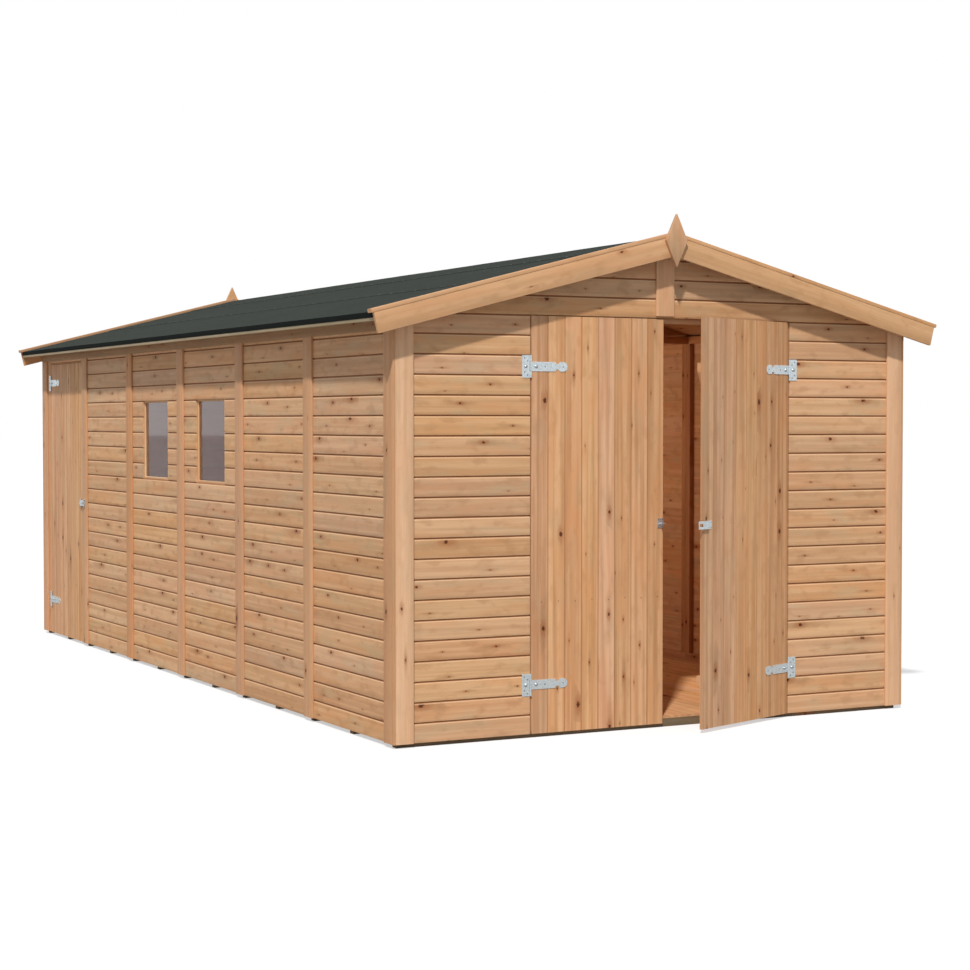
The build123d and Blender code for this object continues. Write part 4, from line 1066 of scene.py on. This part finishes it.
# %% Hasp screws, hasp block and nails
CORNER_INSET = 6 * MM
HASP_PLATE = (-38 * MM, -6 * MM)
HASP_SPOTS = {"right": (0.721, 1.010, 0.0), "side": (0.77317, 0.962, 12 * MM)}
for word, (knuckle_x, z, rise) in HASP_SPOTS.items():
    corners = [(knuckle_x + edge, z + dz) for edge in (HASP_PLATE[0] + CORNER_INSET, HASP_PLATE[1] - CORNER_INSET)
               for dz in (-13 * MM, 13 * MM)]
    where = [leaf_point(leaves[word], x, -KNUCKLE + rise + HASP_T, height) for x, height in corners]
    heads(word + "_hasp_screws", leaves[word]["body"], screw_steel, where, leaves[word]["out"], leaves[word]["run"],
          np.full(4, 3.2 * MM), np.full(4, 1.2 * MM))
for node, body, out, side in (("left_door_staple", "left_door", -Y, X), ("side_door_staple", "shell", -X, Y)):
    low, high = (np.array(corner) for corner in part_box(node))
    back = np.abs(out) * (high - HASP_T)
    where = [back + side * across + Z * z for across in (low @ side + CORNER_INSET, high @ side - CORNER_INSET)
             for z in (low[2] + CORNER_INSET, high[2] - CORNER_INSET)]
    heads(node + "_screws", body, screw_steel, where, out, side, np.full(4, 3.2 * MM), np.full(4, 1.2 * MM))

pad_x = HASP_SPOTS["side"][0] - 16 * MM
pad = planks("side_hasp_block", bar(64.6 * MM, 12.3 * MM, 1.5 * MM), -21.3 * MM, 21.3 * MM,
             leaf_point(leaves["side"], pad_x, -KNUCKLE, HASP_SPOTS["side"][1]), leaves["side"]["run"], Z, -X)
pad.data.materials.append(strip_wood)
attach(pad, "side_door")

NAIL_ROW = 0.641
cover = leaves["left"]["width"] / DOOR_BOARDS
x = DOOR_GAP / 2 + cover * (np.arange(DOOR_BOARDS) + 0.5) + 12 * MM
nail_steel = galvanised("rusted_bright_nail", "#6B4C38", "#4A3325", 0.75)
heads("left_leaf_nails", "left_door", nail_steel,
      [leaf_point(leaves["left"], value, -KNUCKLE, NAIL_ROW + 3 * MM * math.sin(9 * k)) for k, value in enumerate(x)],
      leaves["left"]["out"], X, np.full(len(x), 2.6 * MM), np.full(len(x), 0.6 * MM))

# %% [markdown]
# Roofing felt comes in rolls of a metre, laid from the eaves up, each length over the one below.
# It is soft in the sun and lies in shallow waves, with a grit that kills all shine. The sheet is a
# path over the roof, from the fold at the eaves to the lap, carried along the shed.

# %% Roofing felt
def felt_material():
    """Mineral felt: bitumen with green-grey grit, drawn as 4 mm grains so that it shows."""
    material, tree = new_material("green_mineral_felt")
    place = add(tree, "TexCoord").outputs["Object"]
    grit = add(tree, "TexNoise", place, 1 / (4 * MM), 2.0)
    patches = add(tree, "TexNoise", place, 3.0, 3.0)
    across = add(tree, "Math", add(tree, "SeparateXYZ", place), operation="ABSOLUTE")
    colour = linear("#222724")
    # The felt turned down over the eaves, past the roof's half width, is painted near black: painted shade on the
    # fold.
    for pattern, low, high, most, code in ((grit, 0.35, 0.65, 1.0, "#3B413B"), (patches, 0.3, 0.75, 0.4, "#292E2A"),
                                           (across, roof_high.x - 1 * MM, roof_high.x + 1 * MM, 0.8, "#0E1211")):
        amount = add(tree, "MapRange", pattern, low, high, 0.0, most, interpolation_type="SMOOTHSTEP")
        colour = add(tree, "Mix", amount, colour, linear(code), data_type="RGBA")
    shader = add(tree, "BsdfPrincipled", Base_Color=colour, Roughness=0.95, Specular_IOR_Level=0.06,
                 Normal=add(tree, "Bump", Strength=0.5, Distance=0.6 * MM, Height=grit))
    add(tree, "OutputMaterial", shader)
    return material


FELT_LAP = 75 * MM
FELT_STRIP = 640 * MM
FELT_FOLD = 24 * MM
FELT_STEP = 45 * MM
roof_half = roof_high.x
felt_rise = FELT_T / math.cos(ROOF_PITCH)
felt_bottom = ridge_z + board_rise
length_steps = int((roof_high.y - roof_low.y) / FELT_STEP)
felt_y = np.linspace(roof_low.y, roof_high.y, length_steps)


def waves(x, y):
    """Shallow waves of a sheet that lies in the sun, as a sum of sines in x and y, from 0 to 1."""
    total = (np.sin(2.1 * y + 1.7 * x) + np.sin(5.3 * y - 3.1 * x + 1.0) + 0.6 * np.sin(11.7 * y + 6.1 * x + 2.0)
             + 0.5 * np.sin(23 * y - 9 * x))
    return total / 6.2 + 0.5


FELT_POINTS = 16


def felt_sheet(side, upper, lower, lapped):
    """One length of felt on one slope, as a loop of points (x, z): over it, down and back under.

    A lapped length rises by its own thickness where it climbs on the one below. The lowest length
    turns down over the edge of the roof instead.
    """
    under_x = np.linspace(upper, lower - FELT_LAP - FELT_T * 3 if lapped else lower, FELT_POINTS)
    under_z = felt_bottom - under_x * slope
    if lapped:
        extra_x = np.linspace(lower - FELT_LAP, lower, 4)
        extra_z = felt_bottom - extra_x * slope + felt_rise
        over_x, over_z = extra_x, extra_z + felt_rise
    else:
        extra_x = np.full(4, lower)
        extra_z = under_z[-1] - np.linspace(0, 1, 4) * FELT_FOLD - 0.1 * MM
        over_x, over_z = extra_x + FELT_T, extra_z
    over_x = np.concatenate([under_x, over_x])
    over_z = np.concatenate([under_z + felt_rise, over_z])
    if not lapped:
        over_x[FELT_POINTS - 1] = lower + 0.6 * FELT_T
    loop_x = np.concatenate([over_x, extra_x[::-1], under_x[::-1]])
    loop_z = np.concatenate([over_z, extra_z[::-1], under_z[::-1]])
    return side * loop_x, loop_z, np.arange(len(loop_x)) < len(over_x)


felt = felt_material()
lap_one = roof_half - FELT_STRIP
lap_two = lap_one - FELT_STRIP
loops = []
for side in (-1, 1):
    loops.append(felt_sheet(side, lap_one - FELT_LAP, roof_half, False))
    loops.append(felt_sheet(side, lap_two - FELT_LAP, lap_one, True))
    loops.append(felt_sheet(side, 0.0, lap_two, True))
loop_x, loop_z, top = (np.array(column) for column in zip(*loops))
rings = np.zeros((len(loops), len(felt_y), loop_x.shape[1], 3))
rings[..., 0] = loop_x[:, None]
rings[..., 1] = felt_y[None, :, None]
rings[..., 2] = loop_z[:, None]
rings[..., 2] += 1.6 * MM * waves(rings[..., 0], rings[..., 1]) * top[:, None]
sheets = ring_solids("roof_felt_sheets", rings, rings)
finish_piece(sheets, "shell", "roofing_felt", felt, "roof_felt")

# Short nails with broad heads hold each lap, an inch from its edge
NAIL_SPACING = 150 * MM
NAIL_INSET = 25 * MM
dull_zinc = galvanised("weathered_felt_nail", "#6F7876", "#565E5C", 0.6, 0.5)
for side, word in ((-1, "left"), (1, "right")):
    for lap, place in ((lap_one, "lower"), (lap_two, "upper")):
        y = np.arange(roof_low.y + 2 * NAIL_INSET, roof_high.y - 2 * NAIL_INSET, NAIL_SPACING)
        x = np.full(len(y), lap - NAIL_INSET)
        z = felt_bottom - x * slope + 2 * felt_rise + 1.6 * MM * waves(side * x, y)
        heads(word + "_" + place + "_felt_nails", "shell", dull_zinc, np.stack([side * x, y, z], 1),
              (side * math.sin(ROOF_PITCH), 0, math.cos(ROOF_PITCH)), Y, np.full(len(y), 5 * MM),
              np.full(len(y), 1 * MM), up=np.array([side * math.cos(ROOF_PITCH), 0, -math.sin(ROOF_PITCH)]))

# %% [markdown]
# A clean, plain studio: a pale floor, one large soft key light like the sun on a clear morning, and
# an even white surround. The strengths are set so that a lit board renders about as its colour is
# written. The floor shows white to the camera but keeps a soft share of the shed's shadow.

# %% Floor and light
SUN_TOWARDS = Vector((-0.386, -0.502, 0.775))
SUN_STRENGTH = 3.1
SUN_ANGLE = math.radians(2.5)
SKY_STRENGTH = 0.38
SKY_COLOUR = (0.94, 1.0, 1.12, 1.0)
ROOM_LIGHT_POWER = 29.0
FLOOR_SIZE = 400.0
FLOOR_SHADOW = 0.45

sun = bpy.data.lights.new("key_sun", "SUN")
sun.energy = SUN_STRENGTH
sun.angle = SUN_ANGLE
sun_object = bpy.data.objects.new("key_sun", sun)
sun.color = (1.0, 0.965, 0.92)
sun_object.rotation_mode = "QUATERNION"
sun_object.rotation_quaternion = SUN_TOWARDS.to_track_quat("Z", "Y")
bpy.context.scene.collection.objects.link(sun_object)

# Light that has bounced about the wooden room many times, which gives it the colour of the wood
room = bpy.data.lights.new("room_glow", "POINT")
room.energy = ROOM_LIGHT_POWER
room.color = (1.0, 0.77, 0.62)
room.shadow_soft_size = 0.5
room_object = bpy.data.objects.new("room_glow", room)
room_object.location = (0.0, -0.6, 1.5)
room_object.visible_camera = False
room_object.visible_glossy = False
room_object.visible_transmission = False
bpy.context.scene.collection.objects.link(room_object)

world = bpy.data.worlds.new("white_surround")
world.use_nodes = True
bpy.context.scene.world = world
tree = world.node_tree
tree.nodes.clear()
rays = add(tree, "LightPath").outputs
seen = add(tree, "Math", rays["Is Glossy Ray"], rays["Is Transmission Ray"], operation="MAXIMUM")
seen = add(tree, "Math", rays["Is Camera Ray"], seen, operation="MAXIMUM")
strength = add(tree, "Math", seen, 1.0 - SKY_STRENGTH, SKY_STRENGTH, operation="MULTIPLY_ADD")
colour = add(tree, "Mix", seen, SKY_COLOUR, (1.0, 1.0, 1.0, 1.0), data_type="RGBA")
add(tree, "OutputWorld", add(tree, "Background", colour, strength))

half = FLOOR_SIZE / 2
floor_mesh = bpy.data.meshes.new("studio_floor")
floor_mesh.from_pydata([(-half, -half, 0), (half, -half, 0), (half, half, 0), (-half, half, 0)], [], [(0, 1, 2, 3)])
floor = bpy.data.objects.new("studio_floor", floor_mesh)
bpy.context.scene.collection.objects.link(floor)

# Matt floor paint, pale grey in the light it throws back, and white with a soft shadow when seen
floor_paint, tree = new_material("pale_studio_floor")
rays = add(tree, "LightPath").outputs
seen = add(tree, "Math", rays["Is Camera Ray"], rays["Is Transmission Ray"], operation="MAXIMUM")
white = add(tree, "BsdfDiffuse", (1.0, 1.0, 1.0, 1.0))
glow = add(tree, "Emission", (1.0, 1.0, 1.0, 1.0), 1.0)
shown = add(tree, "MixShader", 1 - FLOOR_SHADOW, white, glow)
paint = add(tree, "BsdfDiffuse", linear("#B4B2AE"))
add(tree, "OutputMaterial", add(tree, "MixShader", seen, paint, shown))
floor_mesh.materials.append(floor_paint)
print("floor", FLOOR_SIZE, "m, sun", SUN_STRENGTH, "W")

# %% [markdown]
# The photograph was taken from in front of the near corner, a little over head height to the
# eaves, with a long lens. The camera was solved from the lines of the boards on both walls.

# %% Camera
CAMERA_PLACE = (-5.5355, -11.6677, 1.5392)
CAMERA_TURN = (math.radians(88.2214), 0.0, math.radians(-27.575))
LENS = 75.735
SENSOR = 36.0

camera = bpy.data.cameras.new("photo_view")
camera.lens = LENS
camera.sensor_width = SENSOR
camera.clip_end = 1000.0
camera_object = bpy.data.objects.new("photo_view", camera)
camera_object.location = CAMERA_PLACE
camera_object.rotation_euler = CAMERA_TURN
bpy.context.scene.collection.objects.link(camera_object)
bpy.context.scene.camera = camera_object
bpy.context.scene.view_settings.view_transform = "Standard"
